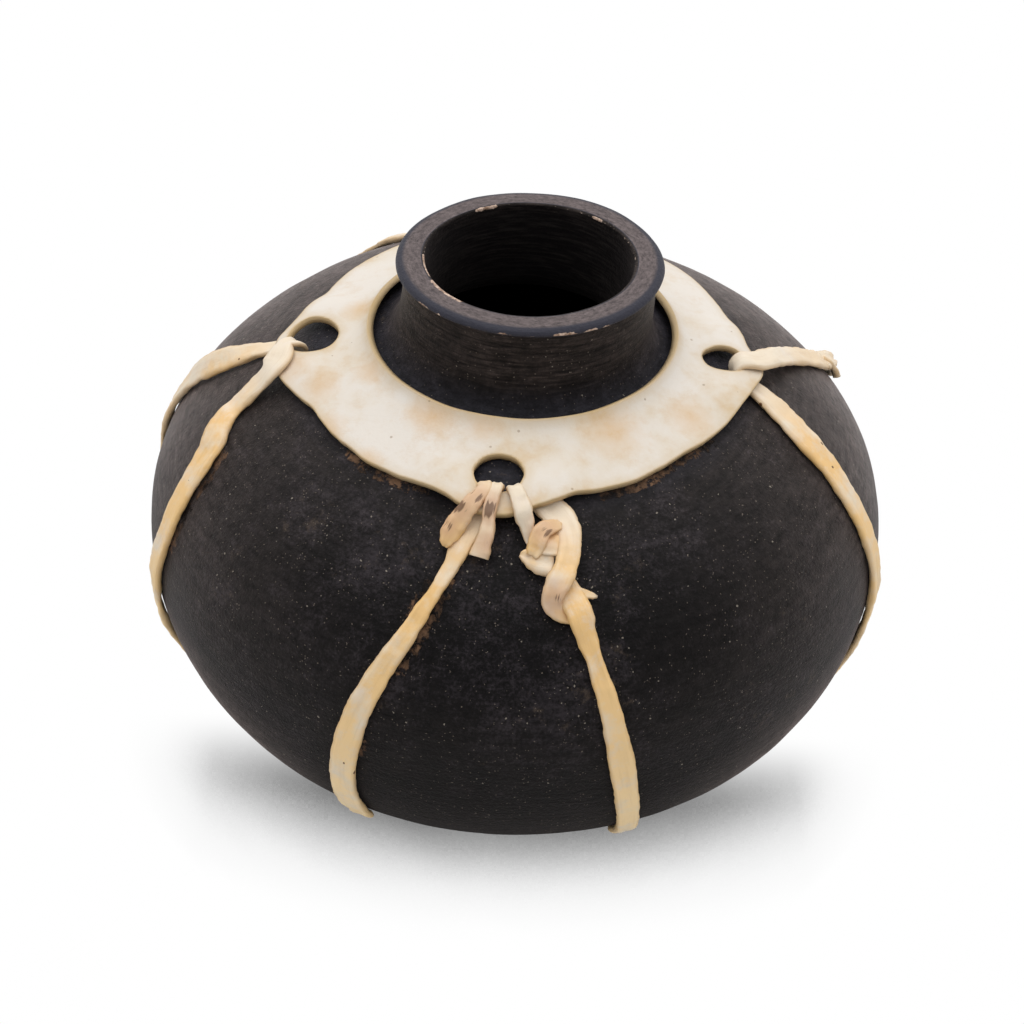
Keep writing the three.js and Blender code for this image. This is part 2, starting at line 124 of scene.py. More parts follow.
def pot_section():
    """The wall's outline from the middle of the underside, over the rim, to the inside floor."""
    foot_s = next(s for s, r, z in skin if z < widest_z and r <= foot_radius)
    flare_s = next(s for s, r, z in skin if r >= neck_radius + flare_reach)
    points = [(foot_radius * i / 12, 0) for i in range(13)]
    outside_steps = 110
    for i in range(1, outside_steps + 1):
        r, z, _, _ = skin_at(foot_s + (flare_s - foot_s) * i / outside_steps)
        points.append((r, z))
    r, z, across, up = skin_at(flare_s)
    bend_z = z + across / up * flare_reach
    lip_z = rim_height - lip_height
    neck_foot = bend_z + flare_rise
    points += arc((r, z), (neck_radius, bend_z), (neck_radius, neck_foot), 16)
    points += arc((neck_radius, neck_foot), (neck_radius - 2 * neck_hollow, (neck_foot + lip_z) / 2),
                  (neck_radius, lip_z), 10)
    points += arc((neck_radius, lip_z), (rim_radius - lip_under, lip_z),
                  (rim_radius, lip_z + lip_edge), 6)
    flat_from, flat_to = rim_radius - lip_spread * lip_round, mouth_radius + mouth_round
    points += arc((rim_radius, rim_height - lip_round), (rim_radius, rim_height),
                  (flat_from, rim_height), 9)
    points += [(flat_from + (flat_to - flat_from) * i / 8, rim_height) for i in range(1, 9)]
    points += arc((flat_to, rim_height), (mouth_radius, rim_height),
                  (mouth_radius, rim_height - mouth_round), 5)
    inner = body_radius - wall
    throat_radius = mouth_radius + flare_reach
    start = 2 / math.pi * math.asin((throat_radius / inner) ** (shoulder_power / 2))
    shoulder = [bulge(start + (1 - start) * i / 24, inner, shoulder_rise - wall, shoulder_power)
                for i in range(25)]
    throat_z = widest_z + shoulder[0][1]
    throat_top = throat_z + flare_rise
    top = rim_height - mouth_round
    points += [(mouth_radius, top + (throat_top - top) * i / 12) for i in range(1, 13)]
    points += arc((mouth_radius, throat_top), (mouth_radius, throat_z + 1),
                  (throat_radius, throat_z), 10)
    points += [(r, widest_z + h) for r, h in shoulder[1:]]
    floor_h = (widest_z - floor_thick) / (belly_drop - wall)
    end = 2 / math.pi * math.acos(floor_h ** (belly_power / 2))
    for i in range(1, 25):
        r, h = bulge(1 - (1 - end) * i / 24, inner, belly_drop - wall, belly_power)
        points.append((r, widest_z - h))
    last_r = points[-1][0]
    points += [(last_r * (1 - i / 8), floor_thick) for i in range(1, 9)]
    return [(r * mm, z * mm) for r, z in points]


def finish_mesh(piece, *modifiers):
    """Adds each modifier (kind, settings) to the piece and applies it."""
    bpy.ops.object.select_all(action="DESELECT")
    piece.select_set(True)
    bpy.context.view_layer.objects.active = piece
    for kind, settings in modifiers:
        modifier = piece.modifiers.new(kind.lower(), kind)
        for name, value in settings.items():
            setattr(modifier, name, value)
        bpy.ops.object.modifier_apply(modifier=modifier.name)
    bpy.ops.object.shade_smooth()


def uneven(name, size, height, **settings):
    """A displacement for hand-made unevenness, with lumps size metres across and height high."""
    texture = bpy.data.textures.new(name, "CLOUDS")
    texture.noise_scale = size
    return "DISPLACE", {"texture": texture, "texture_coords": "LOCAL", "strength": height,
                        "mid_level": 0.5, **settings}


def weld(threshold, capped=False):
    """Joins the active mesh's points that lie within threshold, closes its open ends if it is
    capped, and turns its faces outwards."""
    bpy.ops.object.mode_set(mode="EDIT")
    bpy.ops.mesh.select_all(action="SELECT")
    bpy.ops.mesh.remove_doubles(threshold=threshold)
    if capped:
        bpy.ops.mesh.select_all(action="DESELECT")
        bpy.ops.mesh.select_non_manifold()
        bpy.ops.mesh.edge_face_add()
    bpy.ops.mesh.select_all(action="SELECT")
    bpy.ops.mesh.normals_make_consistent(inside=False)
    bpy.ops.object.mode_set(mode="OBJECT")


def paint(piece, name, values, kind="FLOAT"):
    """Gives each point of the piece its value, or its three values, under the name."""
    attribute = piece.data.attributes.new(name, kind, "POINT")
    attribute.data.foreach_set("value" if kind == "FLOAT" else "vector", values)


def smooth(low, high, x):
    """0 below low, 1 above high, and an even passage between."""
    k = min(1, max(0, (x - low) / (high - low)))
    return k * k * (3 - 2 * k)


section = pot_section()
pot_sides = 320
bpy.ops.object.select_all(action="DESELECT")
bpy.ops.mesh.primitive_plane_add(size=mm)
pot = bpy.context.object
pot.name = "olla_pot"
bpy.ops.object.mode_set(mode="EDIT")
bpy.ops.mesh.merge(type="CENTER")
wall_length = [0]
for here, there in zip(section, section[1:]):
    step = (there[0] - here[0], 0, there[1] - here[1])
    bpy.ops.mesh.extrude_region_move(TRANSFORM_OT_translate={"value": step})
    wall_length.append(wall_length[-1] + math.hypot(step[0], step[2]))

# Length is how far along the wall a point lies, rim is 1 on the matt rim and soot is 1 inside.
bpy.ops.object.mode_set(mode="OBJECT")
hair = 0.01
top_ring = max(i for i, (r, z) in enumerate(section) if z > (rim_height - hair) * mm)
matt_from, matt_to, edge_from, edge_to, soot_rings = 4.5, 2, 0.6, 3.4, 8
paint(pot, "length", wall_length)
paint(pot, "rim", [smooth(rim_height - matt_from, rim_height - matt_to, z / mm)
                   * (1 + smooth(rim_radius - edge_from, rim_radius - edge_to, r / mm)) / 2
                   * (1 if i <= top_ring else 0) for i, (r, z) in enumerate(section)])
paint(pot, "soot", [smooth(top_ring, top_ring + soot_rings, i) for i in range(len(section))])
bpy.ops.object.mode_set(mode="EDIT")
bpy.ops.mesh.select_all(action="SELECT")
bpy.ops.mesh.spin(steps=pot_sides, angle=2 * math.pi, center=(0, 0, 0), axis=(0, 0, 1))
weld(0.001 * mm)

# The neck leans a little to the right and is pressed a little flat from front to back. The
# hand-built unevenness fades out towards the foot, so that the pot stands flat.
lean, lean_back, pressed, lean_from, lean_to = 1.5, 0.4, 0.03, 170, 190
settled = 25 * mm
free = pot.vertex_groups.new(name="free")
for vertex in pot.data.vertices:
    up_neck = smooth(lean_from, lean_to, vertex.co.z / mm)
    vertex.co.x += lean * mm * up_neck
    vertex.co.y += (lean_back * mm - pressed * vertex.co.y) * up_neck
    free.add([vertex.index], min(1, vertex.co.z / settled), "REPLACE")
finish_mesh(pot, uneven("hand built", 85 * mm, 1.6 * mm, vertex_group="free"),
            uneven("scraped", 22 * mm, 0.4 * mm, vertex_group="free"))
clay_tree = BVHTree.FromPolygons([v.co for v in pot.data.vertices],
                                 [p.vertices[:] for p in pot.data.polygons])


def on_clay(s, az, lift):
    """A point lift above the real, uneven clay at length s and bearing az, from millimetres."""
    r, z, across, up = skin_at(s)
    nominal = around(az, r, z) * mm
    out = around(az, across, up).normalized()
    reach = 6 * mm
    hit, _, _, gap = clay_tree.ray_cast(nominal + out * reach, -out, 2 * reach)
    offset = reach - gap if hit else 0
    return nominal + out * (lift * mm + offset)


def linear(colour):
    """A #rrggbb colour as linear red, green, blue and full alpha."""
    parts = [int(colour[i:i + 2], 16) / 255 for i in (1, 3, 5)]
    return (*[c / 12.92 if c <= 0.04045 else ((c + 0.055) / 1.055) ** 2.4 for c in parts], 1)


def add(tree, kind, inputs=(), stops=(), **settings):
    """Adds one shader node. Its inputs are named, or stand in the order of those in use. A node
    is linked by its first output in use and a socket as it is, and any other input is a value.
    Stops are a ramp's (position, colour)."""
    made = tree.nodes.new("ShaderNode" + kind)
    for name, value in settings.items():
        setattr(made, name, value)
    given = ([(made.inputs[name], value) for name, value in inputs.items()]
             if isinstance(inputs, dict) else zip([i for i in made.inputs if i.enabled], inputs))
    for socket, value in given:
        if isinstance(value, bpy.types.Node):
            value = next(out for out in value.outputs if out.enabled)
        if isinstance(value, bpy.types.NodeSocket):
            tree.links.new(value, socket)
        else:
            socket.default_value = value
    if stops:
        ramp = made.color_ramp.elements
        for element, (position, colour) in ((ramp[0], stops[0]), (ramp[-1], stops[-1])):
            element.position, element.color = position, colour
        for position, colour in stops[1:-1]:
            ramp.new(position).color = colour
    return made


def new_material(name):
    """A new material, its node tree and its surface shader."""
    made = bpy.data.materials.new(name)
    made.use_nodes = True
    return made, made.node_tree, made.node_tree.nodes["Principled BSDF"]


def specks(tree, where, scale, smallest, largest, share, strength):
    """A mask, strength high, of a dot in each of a share of a pattern's cells, sized in cells."""
    cell = add(tree, "TexVoronoi", {"Vector": where, "Scale": scale})
    chance = add(tree, "SeparateColor", {"Color": cell.outputs["Color"]})
    size = add(tree, "MapRange", {"Value": chance.outputs["Green"], "To Min": smallest,
                                  "To Max": largest})
    dot = add(tree, "Math", (cell, size), operation="LESS_THAN")
    chosen = add(tree, "Math", (chance, share), operation="LESS_THAN")
    mask = add(tree, "Math", (dot, chosen), operation="MULTIPLY")
    return add(tree, "Math", (mask, strength), operation="MULTIPLY")


# Places where the rim's edges are chipped: edge, bearings from and to, breadth in mm.
chips = [("inner", -88, -66, 0.9), ("inner", -62, -36, 1.9), ("inner", -160, -147, 1.0),
         ("inner", 137, 143, 0.6), ("lip", -11.5, -8.5, 0.9),
         ("lip", 11, 20, 1.1), ("lip", 25, 29.5, 1.0), ("lip", 33, 36, 0.8),
         ("lip", -52, -46, 0.9), ("lip", -41, -39, 0.8), ("lip", -89, -87, 0.9)]
chip_deep, chip_high = 0.3, 0.5
chip_line = {"inner": (mouth_radius, rim_height - chip_deep),
             "lip": (rim_radius - chip_deep, rim_height - lip_height + chip_high)}


def chip_at(point):
    """How near a point is to a chipped edge, from 0 to 1."""
    x, y, z = point / mm
    best = 0
    lowest, worn, worn_reach, before, after = 8, 0.42, 0.7, 2, 1
    if z < rim_height - lowest:
        return best
    x -= lean
    y = (y - lean_back) / (1 - pressed)
    az = math.degrees(math.atan2(x, -y))
    for radius, level in chip_line.values():
        away = math.hypot(math.hypot(x, y) - radius, z - level)
        best = max(best, worn * math.exp(-(away / worn_reach) ** 2))
    for edge, start, end, size in chips:
        beside = smooth(start - before, start + after, az)
        beside *= 1 - smooth(end - after, end + before, az)
        radius, level = chip_line[edge]
        away = math.hypot(math.hypot(x, y) - radius, z - level)
        best = max(best, beside * math.exp(-(away / size) ** 2))
    return best


paint(pot, "chip", [chip_at(vertex.co) for vertex in pot.data.vertices])

# Smoke-blackened earthenware, stone-burnished: near-black with clouds of lighter and browner
# smoke, fine grain, burnishing streaks, scrape lines round the neck, mineral grit, pits, a
# painted sheen on top and low on the sides, a painted shade with browner clay towards the foot,
# and red clay in the chips. A pattern's scale is its cells to a millimetre, so grit at 0.47 / mm
# lies about 2 mm apart.
clay, tree, shader = new_material("smoked_burnished_earthenware")
place = add(tree, "TexCoord").outputs["Object"]
height = add(tree, "SeparateXYZ", {"Vector": place}).outputs["Z"]
cloud = add(tree, "TexNoise", {"Vector": place, "Scale": 0.013 / mm, "Detail": 6,
                               "Roughness": 0.65})
mottle = add(tree, "TexNoise", {"Vector": place, "Scale": 0.075 / mm, "Detail": 6,
                                "Roughness": 0.72})
grain = add(tree, "TexNoise", {"Vector": place, "Scale": 0.95 / mm, "Detail": 3, "Roughness": 0.65})
mottled = add(tree, "Mix", (0.45, cloud, mottle))
grained = add(tree, "Mix", (0.3, mottled, grain))
smoke = add(tree, "ValToRGB", {"Fac": grained},
            stops=[(0.44, linear("#080707")), (0.515, linear("#100e0f")),
                   (0.59, linear("#2a2629"))])
# Towards the foot the colour turns darker and browner: browner clay, and painted shade under the
# belly.
low_share = add(tree, "MapRange", {"Value": height, "From Min": 120 * mm, "From Max": 30 * mm})
browned_and_shaded_low = add(tree, "Mix", (low_share, smoke, linear("#0d0806")), data_type="RGBA")
# Painted sheen: the colour is lightened where the surface turns away from view, on upward faces and
# low on the two sides, in place of the bright room's reflection.
skyward = add(tree, "SeparateXYZ", {"Vector": add(tree, "NewGeometry").outputs["Normal"]})
upper = add(tree, "MapRange", {"Value": skyward.outputs["Z"], "From Min": -0.1, "From Max": 0.6})
graze = add(tree, "LayerWeight", {"Blend": 0.25})
painted_top_sheen = add(tree, "Math", (upper, graze.outputs["Facing"]), operation="MULTIPLY")
across = add(tree, "Math", (add(tree, "SeparateXYZ", {"Vector": place}),), operation="ABSOLUTE")
both_sides = add(tree, "MapRange", {"Value": across, "From Min": 55 * mm, "From Max": 115 * mm,
                                    "To Max": 1.4})
below = add(tree, "MapRange", {"Value": height, "From Min": 100 * mm, "From Max": 60 * mm})
low_side_reach = add(tree, "Math", (both_sides, below), operation="MULTIPLY")
painted_side_sheen = add(tree, "Math", (low_side_reach, graze.outputs["Facing"]), operation="MULTIPLY")
painted_sheen_share = add(tree, "Math", (painted_top_sheen, painted_side_sheen), operation="MAXIMUM")
painted_sheen_fall = add(tree, "Math", (painted_sheen_share, 1.35), operation="POWER")
level = add(tree, "VectorMath", (place, (1, 1, 0)), operation="MULTIPLY")
bearing = add(tree, "VectorMath", {"Vector": level}, operation="NORMALIZE")
length = add(tree, "Attribute", attribute_name="length").outputs["Fac"]
rise = add(tree, "CombineXYZ", {"Z": length})
turned = add(tree, "VectorMath", (bearing, rise), operation="ADD")
stretch = add(tree, "VectorMath", (turned, (3, 3, 0.9 / mm)), operation="MULTIPLY")
rings = add(tree, "TexNoise", {"Vector": stretch, "Scale": 1, "Detail": 4, "Roughness": 0.6})
neck_share = add(tree, "MapRange", {"Value": height, "From Min": 172 * mm, "From Max": 182 * mm})
ring_tone = add(tree, "ValToRGB", {"Fac": rings},
                stops=[(0.35, linear("#110d0c")), (0.72, linear("#3c3431"))])
wobble = add(tree, "TexNoise", {"Vector": place, "Scale": 0.7 / mm, "Detail": 2})
wobbled = add(tree, "Mix", (1.2 * mm, place, wobble.outputs["Color"]), data_type="VECTOR")
patch = add(tree, "TexNoise", {"Vector": place, "Scale": 0.026 / mm, "Detail": 3})
patch_share = add(tree, "MapRange", {"Value": patch, "From Min": 0.53, "From Max": 0.68,
                                     "To Min": 0.06, "To Max": 0.65})
grit_share = specks(tree, wobbled, 0.47 / mm, 0.04, 0.17, patch_share, 0.65)
flare_low = add(tree, "MapRange", {"Value": height, "From Min": 157 * mm, "From Max": 162 * mm})
flare_high = add(tree, "MapRange", {"Value": height, "From Min": 178 * mm, "From Max": 168 * mm})
flare_share = add(tree, "Math", (flare_low, flare_high), operation="MULTIPLY")
speckle = add(tree, "TexNoise", {"Vector": place, "Scale": 0.24 / mm, "Detail": 8,
                                 "Roughness": 0.85})
speckle_gain = add(tree, "MapRange", {"Value": speckle, "From Min": 0.36, "From Max": 0.64,
                                      "To Min": 0.45, "To Max": 1.6})
streak_run = add(tree, "VectorMath", (turned, (7, 7, 0.42 / mm)), operation="MULTIPLY")
streak = add(tree, "TexNoise", {"Vector": streak_run, "Scale": 1, "Detail": 6, "Roughness": 0.65})
streak_gain = add(tree, "MapRange", {"Value": streak, "From Min": 0.35, "From Max": 0.65,
                                     "To Min": 0.72, "To Max": 1.3})
gain = add(tree, "Math", (speckle_gain, streak_gain), operation="MULTIPLY")
fine_share = specks(tree, wobbled, 1.15 / mm, 0.24, 0.24, 0.13, 0.6)
smear = add(tree, "TexNoise", {"Vector": place, "Scale": 0.19 / mm, "Detail": 6, "Roughness": 0.75})
smear_sum = add(tree, "Math", (smear, patch), operation="ADD")
smear_share = add(tree, "MapRange", {"Value": smear_sum, "From Min": 1.2, "From Max": 1.36,
                                     "To Max": 0.5})
rim_share = add(tree, "Attribute", attribute_name="rim").outputs["Fac"]
lip_share = add(tree, "MapRange", {"Value": rim_share, "From Min": 0.12, "From Max": 0.4})
top_share = add(tree, "MapRange", {"Value": rim_share, "From Min": 0.72, "From Max": 0.98})
rim_run = add(tree, "VectorMath", (turned, (16, 16, 0.9 / mm)), operation="MULTIPLY")
rim_grain = add(tree, "TexNoise", {"Vector": rim_run, "Scale": 1, "Detail": 8, "Roughness": 0.8})
rim_colour = add(tree, "ValToRGB", {"Fac": rim_grain},
                 stops=[(0.32, linear("#3a3536")), (0.72, linear("#857978"))])
soot_share = add(tree, "Attribute", attribute_name="soot").outputs["Fac"]
soot_tone = add(tree, "ValToRGB", {"Fac": rings},
                stops=[(0.45, linear("#120f10")), (0.75, linear("#2e2a28"))])
chip_near = add(tree, "Attribute", attribute_name="chip").outputs["Fac"]
ragged = add(tree, "TexNoise", {"Vector": place, "Scale": 0.7 / mm, "Detail": 4, "Roughness": 0.7})
chip_edge = add(tree, "Math", (ragged, chip_near), operation="ADD")
chip_mask = add(tree, "MapRange", {"Value": chip_edge, "From Min": 0.98, "From Max": 1.06})
chip_tone = add(tree, "ValToRGB", {"Fac": ragged},
                stops=[(0.4, linear("#8d6f5a")), (0.62, linear("#dbc2b0"))])
crust_near = add(tree, "Attribute", attribute_name="crust").outputs["Fac"]
crust_noise = add(tree, "TexNoise", {"Vector": place, "Scale": 0.33 / mm, "Detail": 6,
                                     "Roughness": 0.75})
crust_sum = add(tree, "Math", (crust_noise, crust_near), operation="ADD")
crust_mask = add(tree, "MapRange", {"Value": crust_sum, "From Min": 1.1, "From Max": 1.17})
crust_tone = add(tree, "ValToRGB", {"Fac": mottle},
                 stops=[(0.42, linear("#15100e")), (0.62, linear("#7d604a"))])
coat = browned_and_shaded_low
for share, colour in ((painted_sheen_fall, linear("#7e716d")), (neck_share, ring_tone),
                      (flare_share, linear("#25242a"))):
    coat = add(tree, "Mix", (share, coat, colour), data_type="RGBA")
coat = add(tree, "VectorMath", (coat, gain), operation="SCALE")
for share, colour in ((grit_share, linear("#9f968a")), (fine_share, linear("#7d7268")),
                      (smear_share, linear("#5e5146")), (lip_share, linear("#393942")),
                      (top_share, rim_colour), (soot_share, soot_tone), (chip_mask, chip_tone),
                      (crust_mask, crust_tone)):
    coat = add(tree, "Mix", (share, coat, colour), data_type="RGBA")
tree.links.new(coat.outputs["Result"], shader.inputs["Base Color"])
rough_base = add(tree, "MapRange", {"Value": mottled, "From Min": 0.35, "From Max": 0.65,
                                    "To Min": 0.38, "To Max": 0.55})
rough_low = add(tree, "Mix", (low_share, rough_base, 0.85))
rough_rim = add(tree, "Mix", (top_share, rough_low, 0.75))
rough_soot = add(tree, "Mix", (soot_share, rough_rim, 0.8))
tree.links.new(rough_soot.outputs["Result"], shader.inputs["Roughness"])
shader.inputs["IOR"].default_value = 1.2
shader.inputs["Sheen Weight"].default_value = 0.06
shader.inputs["Sheen Roughness"].default_value = 0.4
shader.inputs["Sheen Tint"].default_value = linear("#fff0ee")
dimple = add(tree, "TexNoise", {"Vector": place, "Scale": 0.42 / mm, "Detail": 5, "Roughness": 0.7})
pit = add(tree, "TexVoronoi", {"Vector": place, "Scale": 0.075 / mm})
pit_depth = add(tree, "MapRange", {"Value": pit, "From Min": 0.02, "From Max": 0.09, "To Min": -0.6,
                                   "To Max": 0})
ring_relief = add(tree, "Math", (rings, neck_share), operation="MULTIPLY")
relief = dimple
for layer in (ring_relief, grain, pit_depth, crust_mask, streak):
    relief = add(tree, "Math", (relief, layer), operation="ADD")
bump = add(tree, "Bump", {"Height": relief, "Strength": 0.7, "Distance": 0.5 * mm})
tree.links.new(bump.outputs["Normal"], shader.inputs["Normal"])
pot.data.materials.append(clay)
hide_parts("olla_body")
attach(pot, "root")

# The collar
# One sheet of ivory rawhide, cut by hand to four points round the neck with a hole punched in
# each, put on wet. It dried hard on the shoulder, its inner lip standing up off the clay. The
# outer edge is given as [bearing, length down the clay], and a hole as (bearing, length,
# half its breadth, half its height).
collar_inner = 52.8
collar_holes = [(-4.4, 75.4, 8.2, 7.7), (82.7, 72, 7.2, 7.3), (178, 74.2, 7.4, 7.4),
                (-87.3, 74.9, 10, 8.8)]
collar_edge_line = [
    [-89.6, 87.2], [-84, 89], [-75, 87.8], [-69, 85.4], [-65.5, 83.8], [-61, 82], [-56.5, 82.2],
    [-50.5, 82.8], [-43, 82.9], [-38, 83.6], [-31, 83.5], [-24, 84.3], [-19.5, 85], [-15.5, 86.3],
    [-12.4, 88.3], [-9.3, 90.1], [-6, 90.7], [-2, 90.8], [1, 89.3], [4.5, 87.4], [9.5, 84.9],
    [12, 83.3], [17, 82.5], [27, 82.3], [32.5, 81.6], [38, 80.9], [46, 80.5], [49.5, 81],
    [57, 81.8], [64.5, 82.4], [71, 83.2], [76, 84.4], [80, 85.7], [82.8, 86.1], [85.4, 85.2],
    [87.8, 82.8], [90.6, 80.8], [95, 79.8], [104, 79.2], [113, 79.5], [135, 83], [155, 85],
    [168, 88.5], [178, 90], [188, 88.5], [205, 85], [225, 83], [242, 80.8], [252, 79.8],
    [259, 80.6], [263.2, 82], [267.5, 84.6],
]
hide_thick, thong_thick, gap = 2.6, 2.8, 0.3
raised_hide = thong_thick + 2 * gap


def off_hole(az, holes):
    return min(abs((az - hole + 180) % 360 - 180) for hole in holes)


def cubic(t, start, end, leaving, arriving):
    """The curve from start to end, with its slopes at both, at the share t of the way."""
    return ((2 * t ** 3 - 3 * t ** 2 + 1) * start + (t ** 3 - 2 * t ** 2 + t) * leaving
            + (-2 * t ** 3 + 3 * t ** 2) * end + (t ** 3 - t ** 2) * arriving)


def edge_at(line, az):
    """The length at bearing az of an edge line, rounded through its points."""
    count = len(line)
    az = (az - line[0][0]) % 360 + line[0][0]
    i = max(k for k in range(count) if line[k][0] <= az)
    near = [line[(i + k) % count] for k in (-1, 0, 1, 2)]
    places = [p[0] + 360 * ((i + k) // count) for p, k in zip(near, (-1, 0, 1, 2))]
    spans = [b - a for a, b in zip(places, places[1:])]
    slopes = [(b[1] - a[1]) / span for (a, b), span in zip(zip(near, near[1:]), spans)]
    m1 = (slopes[0] * spans[1] + slopes[1] * spans[0]) / (spans[0] + spans[1]) * spans[1]
    m2 = (slopes[1] * spans[2] + slopes[2] * spans[1]) / (spans[1] + spans[2]) * spans[1]
    t = (az - places[1]) / spans[1]
    wide, narrow = 0.3, 0.15
    ragged = (wide * noise.noise(around(az, 9, line[0][1]))
              + narrow * noise.noise(around(az, 31, 0)))
    return cubic(t, near[1][1], near[2][1], m1, m2) + ragged


def sheet_of_hide(name, inner, line, holes, curl, across):
    """A flat grid, across cells wide, bent round the pot, with its holes cut out and its two
    faces made."""
    turns, curl_reach = 480, 8
    raised_from, raised_to, hole_ragged = 26, 12, 0.03
    wave_height, wave_length, lifted_from, lifted_to = 0.35, 14, 0.3, 0.8
    bpy.ops.object.select_all(action="DESELECT")
    bpy.ops.mesh.primitive_grid_add(x_subdivisions=turns, y_subdivisions=across, size=1)
    hide = bpy.context.object
    hide.name = name
    mesh = hide.data
    bearings = [hole[0] for hole in holes]
    flat, beside = [], []
    for vertex in mesh.vertices:
        az = -180 + 360 * (vertex.co.x + 0.5)
        outer = edge_at(line, az)
        s = inner + (outer - inner) * (vertex.co.y + 0.5)
        hole = min(holes, key=lambda h: off_hole(az, [h[0]]))
        hole_az, hole_s, half_across, half_along = hole
        ring = skin_at(hole_s)[0]
        dx = math.radians((az - hole_az + 180) % 360 - 180) * ring / half_across
        ds = (s - hole_s) / half_along
        flat.append([s, az, outer])
        beside.append((hole, ring, dx, ds, math.hypot(dx, ds)))
    punched = [sum(beside[i][4] < 1 for i in p.vertices) >= 2 for p in mesh.polygons]
    left = {i for p, out in zip(mesh.polygons, punched) if not out for i in p.vertices}
    round_hole = {i for p, out in zip(mesh.polygons, punched) if out for i in p.vertices} & left
    for index in round_hole:
        (hole_az, hole_s, half_across, half_along), ring, dx, ds, away = beside[index]
        k = (1 + hole_ragged * noise.noise(Vector((dx * 2, ds * 2, hole_az)))) / away
        flat[index][:2] = (hole_s + ds * k * half_along,
                           hole_az + math.degrees(dx * k * half_across / ring))
    edge = []
    for vertex, (s, az, outer), (hole, _, _, _, away) in zip(mesh.vertices, flat, beside):
        k = (s - inner) / (outer - inner)
        lip = max(0, 1 - abs(s - inner) / curl_reach)
        near = 1 - smooth(raised_to, raised_from, off_hole(az, bearings))
        raised = (raised_hide - gap) * near * smooth(lifted_from, lifted_to, k)
        wave = wave_height * (1 + noise.noise(around(az, 3, s / wave_length)))
        vertex.co = on_clay(s, az, gap + wave + curl * lip * lip + raised)
        edge.append(max(0, min(abs(s - inner), abs(outer - s), abs(away - 1) * hole[3])))
    for index in round_hole:
        edge[index] = 0
    paint(hide, "edge", edge)
    bpy.ops.object.mode_set(mode="EDIT")
    bpy.ops.mesh.select_mode(type="FACE")
    bpy.ops.mesh.select_all(action="DESELECT")
    bpy.ops.object.mode_set(mode="OBJECT")
    for polygon, out in zip(mesh.polygons, punched):
        polygon.select = out
    bpy.ops.object.mode_set(mode="EDIT")
    bpy.ops.mesh.delete(type="FACE")
    bpy.ops.mesh.select_mode(type="VERT")
    weld(0.02 * mm)
    middle = mesh.polygons[len(mesh.polygons) // 2]
    if middle.normal.dot(middle.center - Vector((0, 0, widest_z * mm))) < 0:
        mesh.flip_normals()
    finish_mesh(hide,
                ("SOLIDIFY", {"thickness": hide_thick * mm, "offset": 1, "use_even_offset": True,
                              "edge_crease_outer": 0.9, "edge_crease_inner": 0.9}),
                ("SUBSURF", {"levels": 1, "render_levels": 1}))
    return hide


collar = sheet_of_hide("rawhide_collar", collar_inner, collar_edge_line, collar_holes, 3.4, 26)

# Places where the collar is stained tan: bearing, length and reach in mm.
stains = [(-76, 84, 14), (-66, 76, 11), (-52, 83, 10), (-37, 84, 8), (-30, 58, 13),
          (-12, 56, 10), (30, 62, 16), (54, 72, 12), (-62, 58, 9), (-100, 60, 10), (150, 70, 12)]
spots = [(on_clay(s, az, 2), reach * mm) for az, s, reach in stains]
paint(collar, "stain", [max(1 - (vertex.co - at).length / reach for at, reach in spots)
                        for vertex in collar.data.vertices])

# Dried rawhide: ivory and nearly matt, deeper tan along the cut edges and hole walls, partly
# the thin hide's own yellower tone and partly a painted glow of light through it, with cloudy tan
# stains and the fine dark dots of hair roots.
rawhide, tree, shader = new_material("dried_rawhide_sheet")
place = add(tree, "TexCoord").outputs["Object"]
stain = add(tree, "TexNoise", {"Vector": place, "Scale": 0.026 / mm, "Detail": 6,
                               "Roughness": 0.62})
tone = add(tree, "ValToRGB", {"Fac": stain},
           stops=[(0.41, linear("#dfd7cd")), (0.55, linear("#dacebd")), (0.70, linear("#cfb184"))])
# Painted glow: deeper tan near the cut edges and hole walls, partly the hide's own tone and partly
# in place of light shining through the thin hide.
edge_near = add(tree, "Attribute", attribute_name="edge").outputs["Fac"]
edge_depth = add(tree, "Math", (edge_near, 0.2), operation="MULTIPLY")
edge_glow_tone = add(tree, "ValToRGB", {"Fac": edge_depth},
                stops=[(0.0, (0.85, 0.85, 0.85, 1)), (0.18, (0.25, 0.25, 0.25, 1)),
                       (0.75, (0, 0, 0, 1))])
flecks = add(tree, "TexNoise", {"Vector": place, "Scale": 0.105 / mm, "Detail": 8,
                                "Roughness": 0.78})
fleck_share = add(tree, "MapRange", {"Value": flecks, "From Min": 0.5, "From Max": 0.75,
                                     "To Max": 0.35})
stain_near = add(tree, "Attribute", attribute_name="stain").outputs["Fac"]
stain_sum = add(tree, "Math", (stain_near, flecks), operation="ADD")
stain_share = add(tree, "MapRange", {"Value": stain_sum, "From Min": 0.6, "From Max": 1.5,
                                     "To Max": 0.6})
root_share = specks(tree, place, 0.33 / mm, 0.16, 0.16, 0.03, 0.5)
coat = tone
for share, colour in ((fleck_share, "#c9a87c"), (stain_share, "#d1a463"), (edge_glow_tone, "#c4a673"),
                      (root_share, "#8a6b48")):
    coat = add(tree, "Mix", (share, coat, linear(colour)), data_type="RGBA")
tree.links.new(coat.outputs["Result"], shader.inputs["Base Color"])
shader.inputs["Roughness"].default_value = 0.55
shader.inputs["IOR"].default_value = 1.45
pores = add(tree, "TexNoise", {"Vector": place, "Scale": 0.7 / mm, "Detail": 4, "Roughness": 0.6})
wrinkle = add(tree, "TexNoise", {"Vector": place, "Scale": 0.12 / mm, "Detail": 3})
relief = add(tree, "Math", (wrinkle, pores), operation="ADD")
bump = add(tree, "Bump", {"Height": relief, "Strength": 0.3, "Distance": 0.4 * mm})
tree.links.new(bump.outputs["Normal"], shader.inputs["Normal"])
collar.data.materials.append(rawhide)
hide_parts("neck_collar")
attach(collar, "root")

